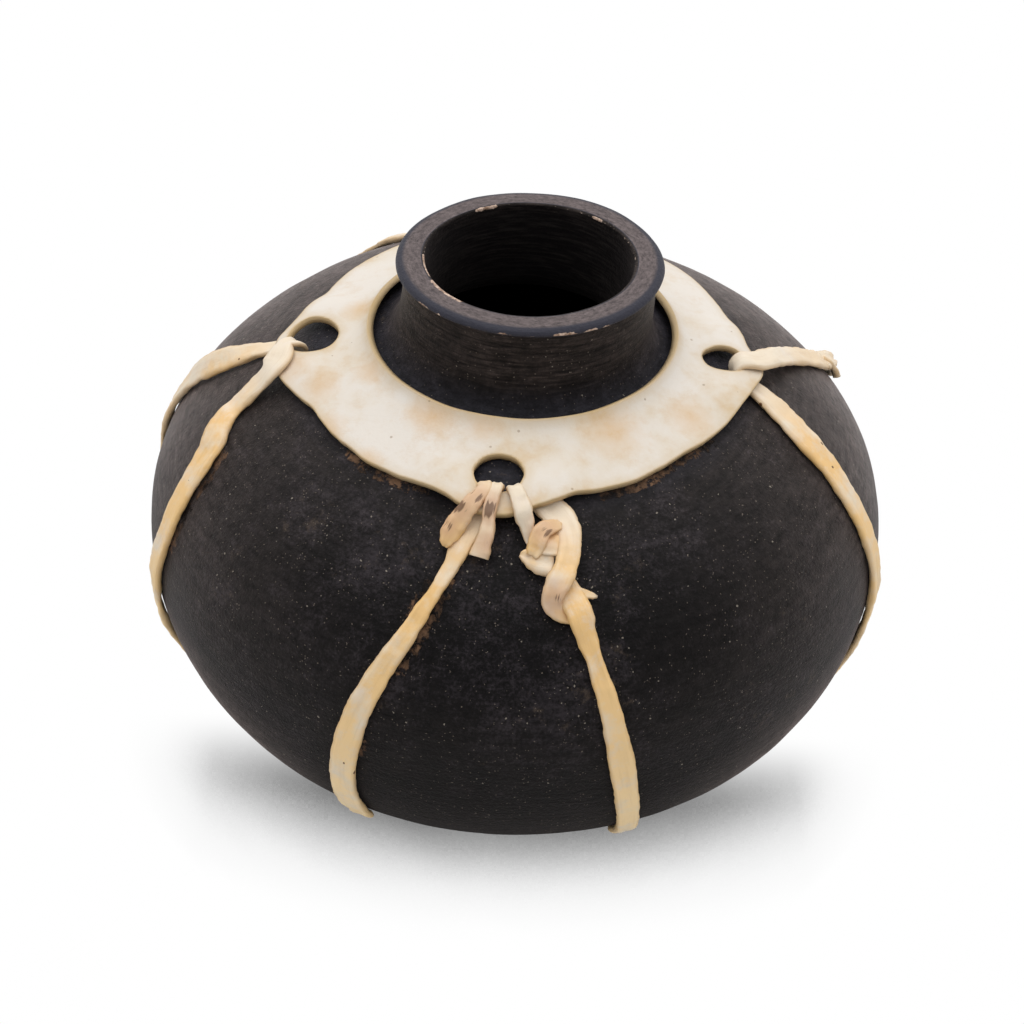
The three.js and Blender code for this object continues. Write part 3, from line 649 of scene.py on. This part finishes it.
# The foot ring
# A second, narrower sheet of the same hide round the underside, out of sight. Its four points
# hold the lower turns of the thongs, and it leaves the clay foot free to stand on.
ring_inner, ring_waist, ring_tip = 297, 281, 272
ring_hole_at, ring_hole_radius = 284.5, 6.5
ring_hole_bearings = [-127, -39, 38.5, 138]
ring_edge_line = []
for hole in ring_hole_bearings:
    ring_edge_line += [[hole - 20, ring_waist], [hole - 7, ring_tip + 2], [hole, ring_tip],
                       [hole + 7, ring_tip + 2], [hole + 20, ring_waist]]
ring_holes = [(hole, ring_hole_at, ring_hole_radius, ring_hole_radius)
              for hole in ring_hole_bearings]
foot_ring = sheet_of_hide("rawhide_foot_ring", ring_inner, ring_edge_line, ring_holes, 0, 18)
foot_ring.data.materials.append(rawhide)
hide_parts("foot_ring")
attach(foot_ring, "root")

# The thongs
# Two long strips cut from the same hide, laced wet from hole to hole and dried as hard as
# horn. They are about 3 mm thick, uneven in width, yellower than the collar and golden low
# down. A place on a route is [s, az, width, lift, turn, cup]: lift is how high its middle lies
# above the clay, turn tilts it about its run in degrees, and cup raises its edges.
over_clay = gap + thong_thick / 2
over_hide = raised_hide + hide_thick + gap + thong_thick / 2
edge_dip = 1
collar_edge, left_edge, right_edge = 80.6, 82.4, 78.4
ring_edge = ring_hole_at - ring_hole_radius + edge_dip


def through(edge, outward, az_over, az_under, width=6):
    """The tight turn over the bridge of hide beside a hole, down through it and back under."""
    middle, radius = (over_hide + over_clay) / 2, (over_hide - over_clay) / 2
    centre = edge + outward * (radius - 2 * gap - thong_thick / 2)
    turn = []
    for i in range(5):
        a = math.pi * i / 4
        turn.append([centre - outward * radius * math.sin(a), az_over + (az_under - az_over) * i / 4,
                     width, middle + radius * math.cos(a)])
    return turn


def foot_turn(near, above, over, under, away):
    """The way up onto the foot ring, over its edge, through its hole and on, from bearings."""
    return [[264, near, 7, 5], [270, above, 6, over_hide],
            *through(ring_edge, -1, over, under), [270, away, 6]]


def spline(points, k, fine):
    """A smooth line through points: the place k steps of 1/fine along it."""
    i = min(int(k / fine), len(points) - 2)
    t = k / fine - i
    p1, p2 = points[i], points[i + 1]
    p0 = points[i - 1] if i > 0 else p1 * 2 - p2
    p3 = points[i + 2] if i + 2 < len(points) else p2 * 2 - p1
    shortest = 1e-4
    spans = [max((b - a).length ** 0.5, shortest) for a, b in ((p0, p1), (p1, p2), (p2, p3))]
    m1 = (p1 - p0) / spans[0] - (p2 - p0) / (spans[0] + spans[1]) + (p2 - p1) / spans[1]
    m2 = (p2 - p1) / spans[1] - (p3 - p1) / (spans[1] + spans[2]) + (p3 - p2) / spans[2]
    return cubic(t, p1, p2, m1 * spans[1], m2 * spans[1])


def lay_route(places, pitch):
    """Stations about pitch mm apart along a route: (place, along, side, flat, (width, turn,
    cup)), with side level with the clay. For the curve a degree counts as 1.5 mm."""
    degree, fine, levelling = 1.5, 24, 0.3
    places = [list(p) + [over_clay, 0, 0][len(p) - 3:] for p in places]
    points = [Vector((s, az * degree, lift)) for s, az, _, lift, _, _ in places]
    forms = [Vector((width, turn, cup)) for _, _, width, _, turn, cup in places]
    rough = []
    for k in range((len(places) - 1) * fine + 1):
        q = spline(points, k, fine)
        i = min(int(k / fine), len(places) - 2)
        form = forms[i].lerp(forms[i + 1], smooth(0, 1, k / fine - i))
        across, up = skin_at(q.x)[2:]
        rough.append((on_clay(q.x, q.y / degree, max(q.z, over_clay)),
                      around(q.y / degree, across, up), form))
    even = [rough[0]]
    for stop in rough[1:]:
        if (stop[0] - even[-1][0]).length >= pitch * mm:
            even.append(stop)
    stations = []
    side = None
    for i, (at, up, form) in enumerate(even):
        along = (even[min(i + 1, len(even) - 1)][0] - even[max(i - 1, 0)][0]).normalized()
        level = up.cross(along)
        side = level if side is None else side + level * (levelling * level.length_squared
                                                          * (-1 if level.dot(side) < 0 else 1))
        side = (side - along * side.dot(along)).normalized()
        stations.append((at, along, side.copy(), side.cross(along), form))
    return stations


def strip_of_hide(name, strands, seed, ages=()):
    """One mesh for one or more strands. Each strand is a grid of stations by section points,
    rolled up, closed and capped. Its age, pale 0 to golden 1, is given for its two ends, or
    comes from its height and is less behind. Short strands are finer and more wrinkled. What
    run and x are divided by is the length of an unevenness in mm."""
    section_points, corner, edge_round = 20, 0.62, 0.8
    ragged_width, ragged_thick, ragged_face = 0.1, 0.12, 0.5
    thinnest, thicker_by_width = 0.35, 0.16
    crease_depth, crease_wander, crease_comes = 0.85, 0.45, 0.35
    crease_share, crease_least = 0.11, 0.1
    start_until, end_from, seed_step, strand_step = 0.5, 0.75, 37, 11
    pale_above, golden_below, least_golden = 164, 146, 0.1
    front, behind, paler_behind = -5, 20, 0.6
    pitch, lump_height, wrinkle_height = (0.6, 1.5, 0.7) if ages else (1, 0.8, 0.5)
    made = []
    for count, places in enumerate(strands):
        stations = lay_route(places, pitch)
        bpy.ops.object.select_all(action="DESELECT")
        bpy.ops.mesh.primitive_grid_add(x_subdivisions=len(stations) - 1,
                                        y_subdivisions=section_points, size=1)
        strand = bpy.context.object
        lay, age = [], []
        for vertex in strand.data.vertices:
            i = round((vertex.co.x + 0.5) * (len(stations) - 1))
            j = round((vertex.co.y + 0.5) * section_points) % section_points
            at, along, side, flat, (width, turn, cup) = stations[i]
            run = i * pitch + seed * seed_step + count * strand_step
            a = 2 * math.pi * j / section_points
            c, s = math.cos(a), math.sin(a)
            ragged = noise.noise(Vector((run / 13, seed, 3 * c)))
            ragged += 0.5 * noise.noise(Vector((run / 3.5, seed, 3 * c + 9)))
            half = width / 2 * (1 + ragged_width * ragged)
            thick = noise.noise(Vector((run / 11, seed, 5)))
            thick = thong_thick / 2 * (1 + ragged_thick * thick)
            thick *= min(1, thinnest + thicker_by_width * width)
            x = half * math.copysign(abs(c) ** corner, c)
            y = thick * math.copysign(abs(s) ** edge_round, s)
            crease_at = crease_wander * half * noise.noise(Vector((run / 45, seed, 21)))
            crease = math.exp(-((x - crease_at) / (crease_share * width + crease_least)) ** 2)
            crease *= crease_depth * smooth(-crease_comes, crease_comes,
                                            noise.noise(Vector((run / 24, seed, 33))))
            y += s * (ragged_face * noise.noise(Vector((x / 4, run / 7, seed))) - crease)
            y += cup * (x / half) ** 2
            lean_over = math.radians(turn)
            x, y = (x * math.cos(lean_over) - y * math.sin(lean_over),
                    x * math.sin(lean_over) + y * math.cos(lean_over))
            vertex.co = at + side * (x * mm) + flat * (y * mm)
            lay += (c * half * mm, run * mm, abs(c))
            low = smooth(pale_above, golden_below, vertex.co.z / mm)
            low = least_golden + (1 - least_golden) * low
            low *= 1 - paler_behind * smooth(front, behind, vertex.co.y / mm)
            share = smooth(start_until, end_from, i / len(stations))
            age.append(ages[count][0] * (1 - share) + ages[count][1] * share if ages else low)
        paint(strand, "lay", lay, "FLOAT_VECTOR")
        paint(strand, "age", age)
        weld(0.01 * mm, capped=True)
        made.append(strand)
    for strand in made:
        strand.select_set(True)
    bpy.context.view_layer.objects.active = made[0]
    if len(made) > 1:
        bpy.ops.object.join()
    piece = bpy.context.object
    piece.name = name
    finish_mesh(piece, uneven(name, 6 * mm, lump_height * mm),
                uneven(name + " wrinkles", 2.2 * mm, wrinkle_height * mm))
    return piece


first_route = [
    [81.6, -5.8, 6.5, 6.3], [80.4, -5.8, 6.5, 4.7], [81.6, -5.9, 6.5, 2.6], [85.5, -6.9, 7],
    [94.2, -8.6, 7.5], [101, -9.8, 6.8], [108.5, -11, 5.7], [115.8, -12.4, 4.7],
    [121, -13.4, 5.2], [126, -14.4, 6], [132.5, -15.6, 6.8], [141, -17.2, 7.2],
    [150, -18.8, 8.2], [164, -20.7, 9], [182, -22.2, 9.4], [200, -23, 10],
    [217, -22.9, 10.6], [232, -23.6, 9.8], [240, -26.4, 8.6], [248, -30.5, 8], [257, -33.4, 8],
    *foot_turn(-34, -36.5, -38, -40, -41.5),
    [262, -46.5, 7.5], [252, -55, 8], [240, -63, 8.5], [226, -67.6, 9], [212, -68.6, 9],
    [195, -67.6, 9], [174, -66.2, 9.6], [154.3, -65.4, 10], [142.6, -66.2, 10.2],
    [134, -67.2, 10.6], [128, -68.1, 11.8],
    [123, -69.2, 12.2], [118, -70.4, 11, 2.4, -14], [114.4, -72.2, 9.2, 3, -24],
    [110.5, -74.2, 9, 2.6, -14], [106.2, -75.7, 9.8, 1.8], [100.4, -76.6, 10, 2.6],
    [93.9, -76.5, 10.8, 5], [89.6, -77, 12, 7.2], [86.6, -78.8, 12.6, over_hide],
    *through(left_edge, 1, -84, -87.6, 8),
    [86.5, -88.8, 8.4], [90, -89.8, 8], [97.3, -91.2, 7.4, 2, 4], [105, -91.9, 8.4, 2.8, 16],
    [112, -92.4, 9.6, 3.6, 24], [119, -93.2, 10, 3.8, 26], [128, -94.8, 9.6, 3.2, 20],
    [137, -95.8, 8.6, 2.2, 8], [145, -96.2, 8], [160, -96.6, 8],
    [180, -98, 8], [200, -101, 8], [220, -105, 8], [240, -111, 8], [256, -118, 8],
    *foot_turn(-122, -124.5, -126, -128, -129.5),
    [262, -132.5, 7.5], [240, -136, 8], [215, -137.5, 8], [185, -139.5, 8], [160, -142.5, 8],
    [140, -147, 8], [126, -149.5, 8], [115, -150.5, 8], [107, -153.5, 8], [101.5, -159.5, 8],
    [97.5, -166, 8, 4], [92.5, -171, 8, over_hide], [88, -175, 7, over_hide],
    *through(collar_edge, 1, -178.5, -183), [89, -185, 6.5],
    [95, -187, 7.5], [104, -190, 8], [115, -193, 8], [130, -197, 8], [150, -200.5, 8],
    [180, -205, 8], [215, -209, 8], [240, -213, 8], [256, -216.5, 8],
    *foot_turn(-218.5, -220, -221.3, -223, -224.5),
    [262, -227.5, 7.5], [240, -232, 8], [215, -236, 8], [180, -239.5, 8], [164, -241, 8],
    [153, -243.4, 8], [146, -246.5, 8],
]
second_route = [
    [132, 108.4, 9], [125, 106.2, 9], [117.8, 103.8, 9], [110, 101.1, 9.2, 2.2],
    [103.5, 98.4, 9.5, 2.8], [98.4, 95.7, 9.5, 4.2], [92, 91.2, 9.5, 6.4],
    [87, 87.2, 9.2, over_hide], [84, 84.9, 9, over_hide],
    *through(right_edge, 1, 83, 81, 8), [83.5, 79.6, 8],
    [87.5, 78.4, 9.5], [91.2, 77.6, 11], [95.3, 76.6, 11.6], [100, 75.5, 12],
    [105, 74.6, 12.6], [110, 73.8, 12.6], [114.5, 73.1, 12.2], [119, 72.6, 11.7],
    [126, 71.7, 11.2], [134, 71, 10.6], [142, 70.5, 10.4], [154, 70.1, 10.4], [174, 69.8, 10.4],
    [195, 69.6, 9.8], [212, 69, 9.2], [228, 66.6, 8.8], [242, 60, 8.4], [254, 51.5, 8],
    *foot_turn(45, 42, 39.7, 37.5, 35.5),
    [262, 27.5, 7.5], [250, 22.4, 8], [240, 20.4, 8], [226, 19.5, 8], [211, 18.3, 8],
    [196, 17.2, 8.3],
    [184, 16.4, 8.8], [174, 15.6, 9.1], [165, 14.9, 7.9], [154, 14.1, 7.4],
    [145, 13.3, 6.4], [137, 12.4, 5.4], [130, 11.5, 6.8, 2.4],
    [122.3, 10.7, 8.6, 4.3], [116.5, 9.8, 9, 2.8], [112.5, 9.1, 7.6, 2], [109.5, 8.8, 6],
]
hitch_strands = [
    [[80.6, -7.2, 4.6, 4.7], [81.7, -7, 5, 7.2], [83.3, -6.8, 5.2, 8], [86, -7.8, 5.2, 8],
     [90.1, -9.5, 6, 7.5, 12], [94.3, -11, 7, 6, 20, 0.3], [98.4, -12, 6.4, 4.6, 22, 0.5],
     [101, -12.5, 4.6, 3.7, 20, 0.4], [102.8, -12.7, 1.6, 3.3, 18]],
    [[80.6, -4.3, 4.6, 4.7], [81.7, -4.3, 4.8, 7.2], [83.5, -4.5, 4.8, 8.1], [86, -4.8, 4.6, 8],
     [90, -5.1, 4.9, 7.6, -8], [94, -5.2, 4.8, 6.2, -14, 0.3], [98, -5.4, 5.2, 4.8, -16, 0.5],
     [102.4, -6.1, 6.8, 3.5, -8, 0.5], [104.2, -6.3, 6.6, 2.8, -4, 0.4]],
]
knot_strands = [
    [[99.8, 3, 1.2, 2], [98, 2.8, 2.6, 2.6], [94.2, 2.4, 4.8, 4.4], [92, 2, 6, 5.8],
     [89.5, 1.5, 6.5, 7.4], [86.4, 0.8, 6.2, 8], [83.2, -0.1, 5.6, 8], [81.8, -0.5, 5.4, 7.2],
     [80.6, -0.6, 5.2, 4.7], [81.6, 0, 5.6, 2.4], [82.8, 3.2, 7], [84.2, 6, 9],
     [86.2, 7.6, 10.2], [89.2, 9, 10.4, 1.9], [92.4, 10, 9.4, 2.2, 0, 0.3],
     [96.2, 10.5, 8.4, 3, 4, 0.3], [100, 10.3, 7.8, 4, 6], [105.7, 9.4, 7.6, 5.2, 4],
     [110.6, 8.1, 8, 5.9], [114.6, 6.9, 7.4, 5.6, -8], [117.8, 6.6, 6.8, 4, -12],
     [120.4, 7.6, 6.4, 2.2], [122, 9.2, 6.2], [122.7, 11, 5.4]],
    [[94, 9.2, 2.6, 4], [93.9, 8.2, 4.8, 4.4], [94.2, 6.9, 5.8, 4.8], [95, 5.8, 6, 5.2, 8],
     [96.6, 4.9, 6, 5.4, 10], [99, 4.3, 6, 5], [101.5, 3.9, 5.4, 4], [103, 3.4, 4, 3.2]],
    [[105, 7.2, 9.4, 2.6], [104.6, 5.8, 9.6, 2.6, 0, 0.4], [104.2, 4.6, 9, 2.6, 0, 0.5],
     [103.6, 3.2, 7.2, 2.8, 0, 0.4], [102.9, 2, 4.4, 3], [102.4, 1.1, 1.4, 3.2]],
    [[95.4, 7.8, 6, 3], [99, 7, 7.4, 3.8], [103, 6.6, 7.4, 3.4]],
    [[113.6, 9.6, 3.4, 2.2], [115.4, 11.5, 3.6, 2.6], [116.4, 13, 2.6, 3], [117.3, 14.1, 0.9, 3.2]],
]
splice_strands = [
    [[132.6, 109.6, 6.6, 3.4], [135.2, 109.2, 8.4, 3.8], [138, 108.8, 8.4, 3.6],
     [140.6, 108.4, 7.4, 3], [142.6, 108, 5, 2.2]],
    [[131.5, 108.2, 9, 2], [134.5, 109, 8.8, 3], [137.5, 109.8, 7.6, 4.6], [140, 110.4, 5, 5.2]],
    [[148, 113.4, 8, 2], [143, 111.6, 8, 2.4], [138, 109.8, 7, 3]],
]

first_thong = strip_of_hide("first_thong", [first_route], 1)
second_thong = strip_of_hide("second_thong", [second_route], 2)
hitch = strip_of_hide("front_left_hitch", hitch_strands, 3, [(0.6, 0.9), (0.25, 0.35)])
knot = strip_of_hide("front_right_knot", knot_strands, 4,
                     [(0.1, 0.9), (0.8, 0.9), (0.9, 0.7), (0.9, 0.9), (0.8, 0.8)])
splice = strip_of_hide("right_rear_splice", splice_strands, 5, [(0.2, 0.4)] * 3)

# Dried rawhide thong: whitish by the collar, golden tan and horn-like below, deeper tan along its
# thin edges, partly its own tone and partly a painted glow of light through them, and painted
# paler and brighter low down in place of the dimmer light there, with faint lengthwise fibres,
# chalky places, a few burnt-brown specks, and red-brown dirt where hands pulled it.
thong_hide, tree, shader = new_material("dried_rawhide_thong")
place = add(tree, "TexCoord").outputs["Object"]
lay = add(tree, "Attribute", attribute_name="lay").outputs["Vector"]
tan_share = add(tree, "Attribute", attribute_name="age").outputs["Fac"]
blotch = add(tree, "TexNoise", {"Vector": place, "Scale": 0.06 / mm, "Detail": 4, "Roughness": 0.6})
blotch_share = add(tree, "MapRange", {"Value": blotch, "From Min": 0.32, "From Max": 0.52,
                                      "To Min": 0.1})
blotched = add(tree, "Math", (tan_share, blotch_share), operation="MULTIPLY")
height = add(tree, "SeparateXYZ", {"Vector": place}).outputs["Z"]
# Painted light: the gold turns paler and brighter from 150 mm down to 70 mm, making up for the
# dimmer light on the low front.
lowness = add(tree, "MapRange", {"Value": height, "From Min": 150 * mm, "From Max": 70 * mm})
golden = add(tree, "Mix", (lowness, linear("#ebc080"), linear("#ffe0ab")), data_type="RGBA")
chalk = add(tree, "TexNoise", {"Vector": place, "Scale": 0.15 / mm, "Detail": 6, "Roughness": 0.7})
chalk_share = add(tree, "MapRange", {"Value": chalk, "From Min": 0.52, "From Max": 0.72,
                                     "To Max": 0.6})
# Painted glow: deeper tan towards the thin side edges, partly the hide's own tone and partly in
# place of light shining through them.
edge_far = add(tree, "SeparateXYZ", {"Vector": lay}).outputs["Z"]
edge_glow_share = add(tree, "MapRange", {"Value": edge_far, "From Min": 0.6, "To Max": 0.55})
stretch = add(tree, "VectorMath", (lay, (0.9 / mm, 0.07 / mm, 0)), operation="MULTIPLY")
fibre = add(tree, "TexNoise", {"Vector": stretch, "Scale": 1, "Detail": 4, "Roughness": 0.6})
fibre_share = add(tree, "MapRange", {"Value": fibre, "From Min": 0.5, "From Max": 0.8,
                                     "To Max": 0.2})
handled = add(tree, "Attribute", attribute_name="handled").outputs["Fac"]
worn_share = add(tree, "MapRange", {"Value": handled, "From Max": 0.6, "To Max": 0.7})
dirt_sum = add(tree, "Math", (handled, fibre), operation="ADD")
dirt_share = add(tree, "MapRange", {"Value": dirt_sum, "From Min": 1.2, "From Max": 1.3,
                                    "To Max": 0.75})
speck_run = add(tree, "VectorMath", (place, (1, 1, 0.55)), operation="MULTIPLY")
speck_share = specks(tree, speck_run, 0.26 / mm, 0.17, 0.17, 0.08, 1)
coat = add(tree, "Mix", (blotched, linear("#e9dcc8"), golden), data_type="RGBA")
for share, colour in ((chalk_share, "#e8d9cb"), (edge_glow_share, "#c69c5c"), (fibre_share, "#b98f55"),
                      (worn_share, "#d0a684"), (dirt_share, "#54331f"), (speck_share, "#6b4526")):
    coat = add(tree, "Mix", (share, coat, linear(colour)), data_type="RGBA")
tree.links.new(coat.outputs["Result"], shader.inputs["Base Color"])
shader.inputs["Roughness"].default_value = 0.46
shader.inputs["IOR"].default_value = 1.45
wrinkle = add(tree, "TexNoise", {"Vector": place, "Scale": 0.26 / mm, "Detail": 6,
                                 "Roughness": 0.65})
fibre_relief = add(tree, "Math", (fibre, 0.4), operation="MULTIPLY")
relief = add(tree, "Math", (wrinkle, fibre_relief), operation="ADD")
bump = add(tree, "Bump", {"Height": relief, "Strength": 0.6, "Distance": 0.5 * mm})
tree.links.new(bump.outputs["Normal"], shader.inputs["Normal"])

# Where hands pulled the hitch and the knot tight, the hide is redder and dirty: bearing,
# length and reach in mm.
grips = [(-8, 87, 7), (-11, 90.5, 8), (-12.6, 97, 6), (-5, 90, 8), (-5, 101, 7), (7, 118, 9),
         (6, 96, 8)]
pulled = [(on_clay(s, az, 8), reach * mm) for az, s, reach in grips]
for piece in (hitch, knot):
    paint(piece, "handled", [max(0, *[1 - (vertex.co - at).length / reach
                                      for at, reach in pulled]) for vertex in piece.data.vertices])

stood_for = {
    first_thong: ["lace_front_left", "turn_foot_front_left", "lace_left_front", "turn_left_hole",
                  "lace_left_back", "turn_foot_back_left", "lace_back_left", "turn_back_hole",
                  "lace_back_right", "turn_foot_back_right", "lace_right_back_lower"],
    second_thong: ["lace_right_back_upper", "turn_right_hole", "lace_right_front",
                   "turn_foot_front_right", "lace_front_right"],
    hitch: ["knot_front_left"],
    knot: ["knot_front_right"],
    splice: ["knot_right_back"],
}
for piece, nodes in stood_for.items():
    piece.data.materials.append(thong_hide)
    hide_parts(*nodes)
    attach(piece, "root")

# The clay beside the hide keeps a brown crust of glue and dirt in some places: bearings from
# and to, and heights from and to in mm.
crusts = [(-46, -18, 146, 162), (18, 58, 146, 162), (-70, -58, 112, 144), (-18, -8, 122, 146),
          (-23, -17, 88, 97)]
hide_points, hide_faces = [], []
for piece in (collar, first_thong):
    first = len(hide_points)
    hide_points += [v.co for v in piece.data.vertices]
    hide_faces += [[first + i for i in p.vertices] for p in piece.data.polygons]
hide_tree = BVHTree.FromPolygons(hide_points, hide_faces)
passage, search, beside_hide, off_hide, most = 3, 12, 2.6, 6, 0.68
crust = []
for vertex in pot.data.vertices:
    x, y, z = vertex.co / mm
    az = math.degrees(math.atan2(x, -y))
    value = max(smooth(a - passage, a + passage, az) * (1 - smooth(b - passage, b + passage, az))
                * smooth(c - passage, c, z) * (1 - smooth(d, d + passage, z))
                for a, b, c, d in crusts)
    if value > 0:
        _, _, _, away = hide_tree.find_nearest(vertex.co, search * mm)
        value *= 1 - smooth(beside_hide, off_hide, (away or search * mm) / mm)
    crust.append(most * value)
paint(pot, "crust", crust)

# The studio
# White paper without an edge in view. To the camera it is blank but for the soft shade that
# gathers under the belly. The room is bright behind and above, and dimmer in front.
bpy.ops.object.select_all(action="DESELECT")
bpy.ops.mesh.primitive_plane_add(size=8)
ground = bpy.context.object
ground.name = "studio_floor"
white, tree, shader = new_material("white_studio_paper")
shader.inputs["Base Color"].default_value = linear("#e8e8e8")
shader.inputs["Roughness"].default_value = 0.9
seen = add(tree, "LightPath").outputs["Is Camera Ray"]
ahead = Vector((0, -0.45, 0.9)).normalized()
shade = add(tree, "AmbientOcclusion", {"Distance": 55 * mm, "Normal": ahead}, samples=16)
spot = add(tree, "SeparateXYZ", {"Vector": add(tree, "TexCoord").outputs["Object"]})
aside = add(tree, "Math", (spot.outputs["X"], 2), operation="POWER")
narrowed = add(tree, "Math", (aside, -23, 0.16), operation="MULTIPLY_ADD")
kept = add(tree, "Math", (narrowed, -0.15), operation="MAXIMUM")
shade_sum = add(tree, "Math", (shade.outputs["AO"], kept), operation="ADD")
soft = add(tree, "ValToRGB", {"Fac": shade_sum},
           stops=[(at, (grey, grey, grey, 1)) for at, grey in
                  ((0.3, 0.12), (0.42, 0.27), (0.5, 0.55), (0.56, 0.72), (0.65, 0.91), (0.85, 1))])
before = add(tree, "MapRange", {"Value": spot.outputs["Y"], "From Min": -36 * mm,
                                "From Max": -78 * mm}, interpolation_type="SMOOTHSTEP")
open_share = add(tree, "Mix", (before, 1.0, soft))
paper = add(tree, "Emission", {"Strength": open_share})
shown = add(tree, "MixShader", (seen, shader, paper))
output = next(n for n in tree.nodes if n.type == "OUTPUT_MATERIAL")
tree.links.new(shown.outputs["Shader"], output.inputs["Surface"])
ground.data.materials.append(white)

bpy.ops.object.light_add(type="AREA", location=(0.0, 0.12, 1.5))
lamp = bpy.context.object
lamp.data.shape = "SQUARE"
lamp.data.size = 1.8
lamp.data.energy = 16.5
lamp.rotation_euler = (Vector((0, 0, 0.1)) - lamp.location).to_track_quat("-Z", "Y").to_euler()

world = bpy.data.worlds.new("soft_room") if not bpy.data.worlds else bpy.data.worlds[0]
bpy.context.scene.world = world
world.use_nodes = True
tree = world.node_tree
background = next(n for n in tree.nodes if n.type == "BACKGROUND")
facing = add(tree, "SeparateXYZ", {"Vector": add(tree, "TexCoord").outputs["Generated"]})
depth = add(tree, "MapRange", {"Value": facing.outputs["Y"], "From Min": -0.6, "From Max": 0.8,
                               "To Min": 0.42, "To Max": 0.9})
seen = add(tree, "LightPath").outputs["Is Camera Ray"]
strength = add(tree, "Mix", (seen, depth, 1.0))
background.inputs["Color"].default_value = linear("#ffffff")
tree.links.new(strength.outputs["Result"], background.inputs["Strength"])
bpy.context.scene.view_settings.view_transform = "Standard"
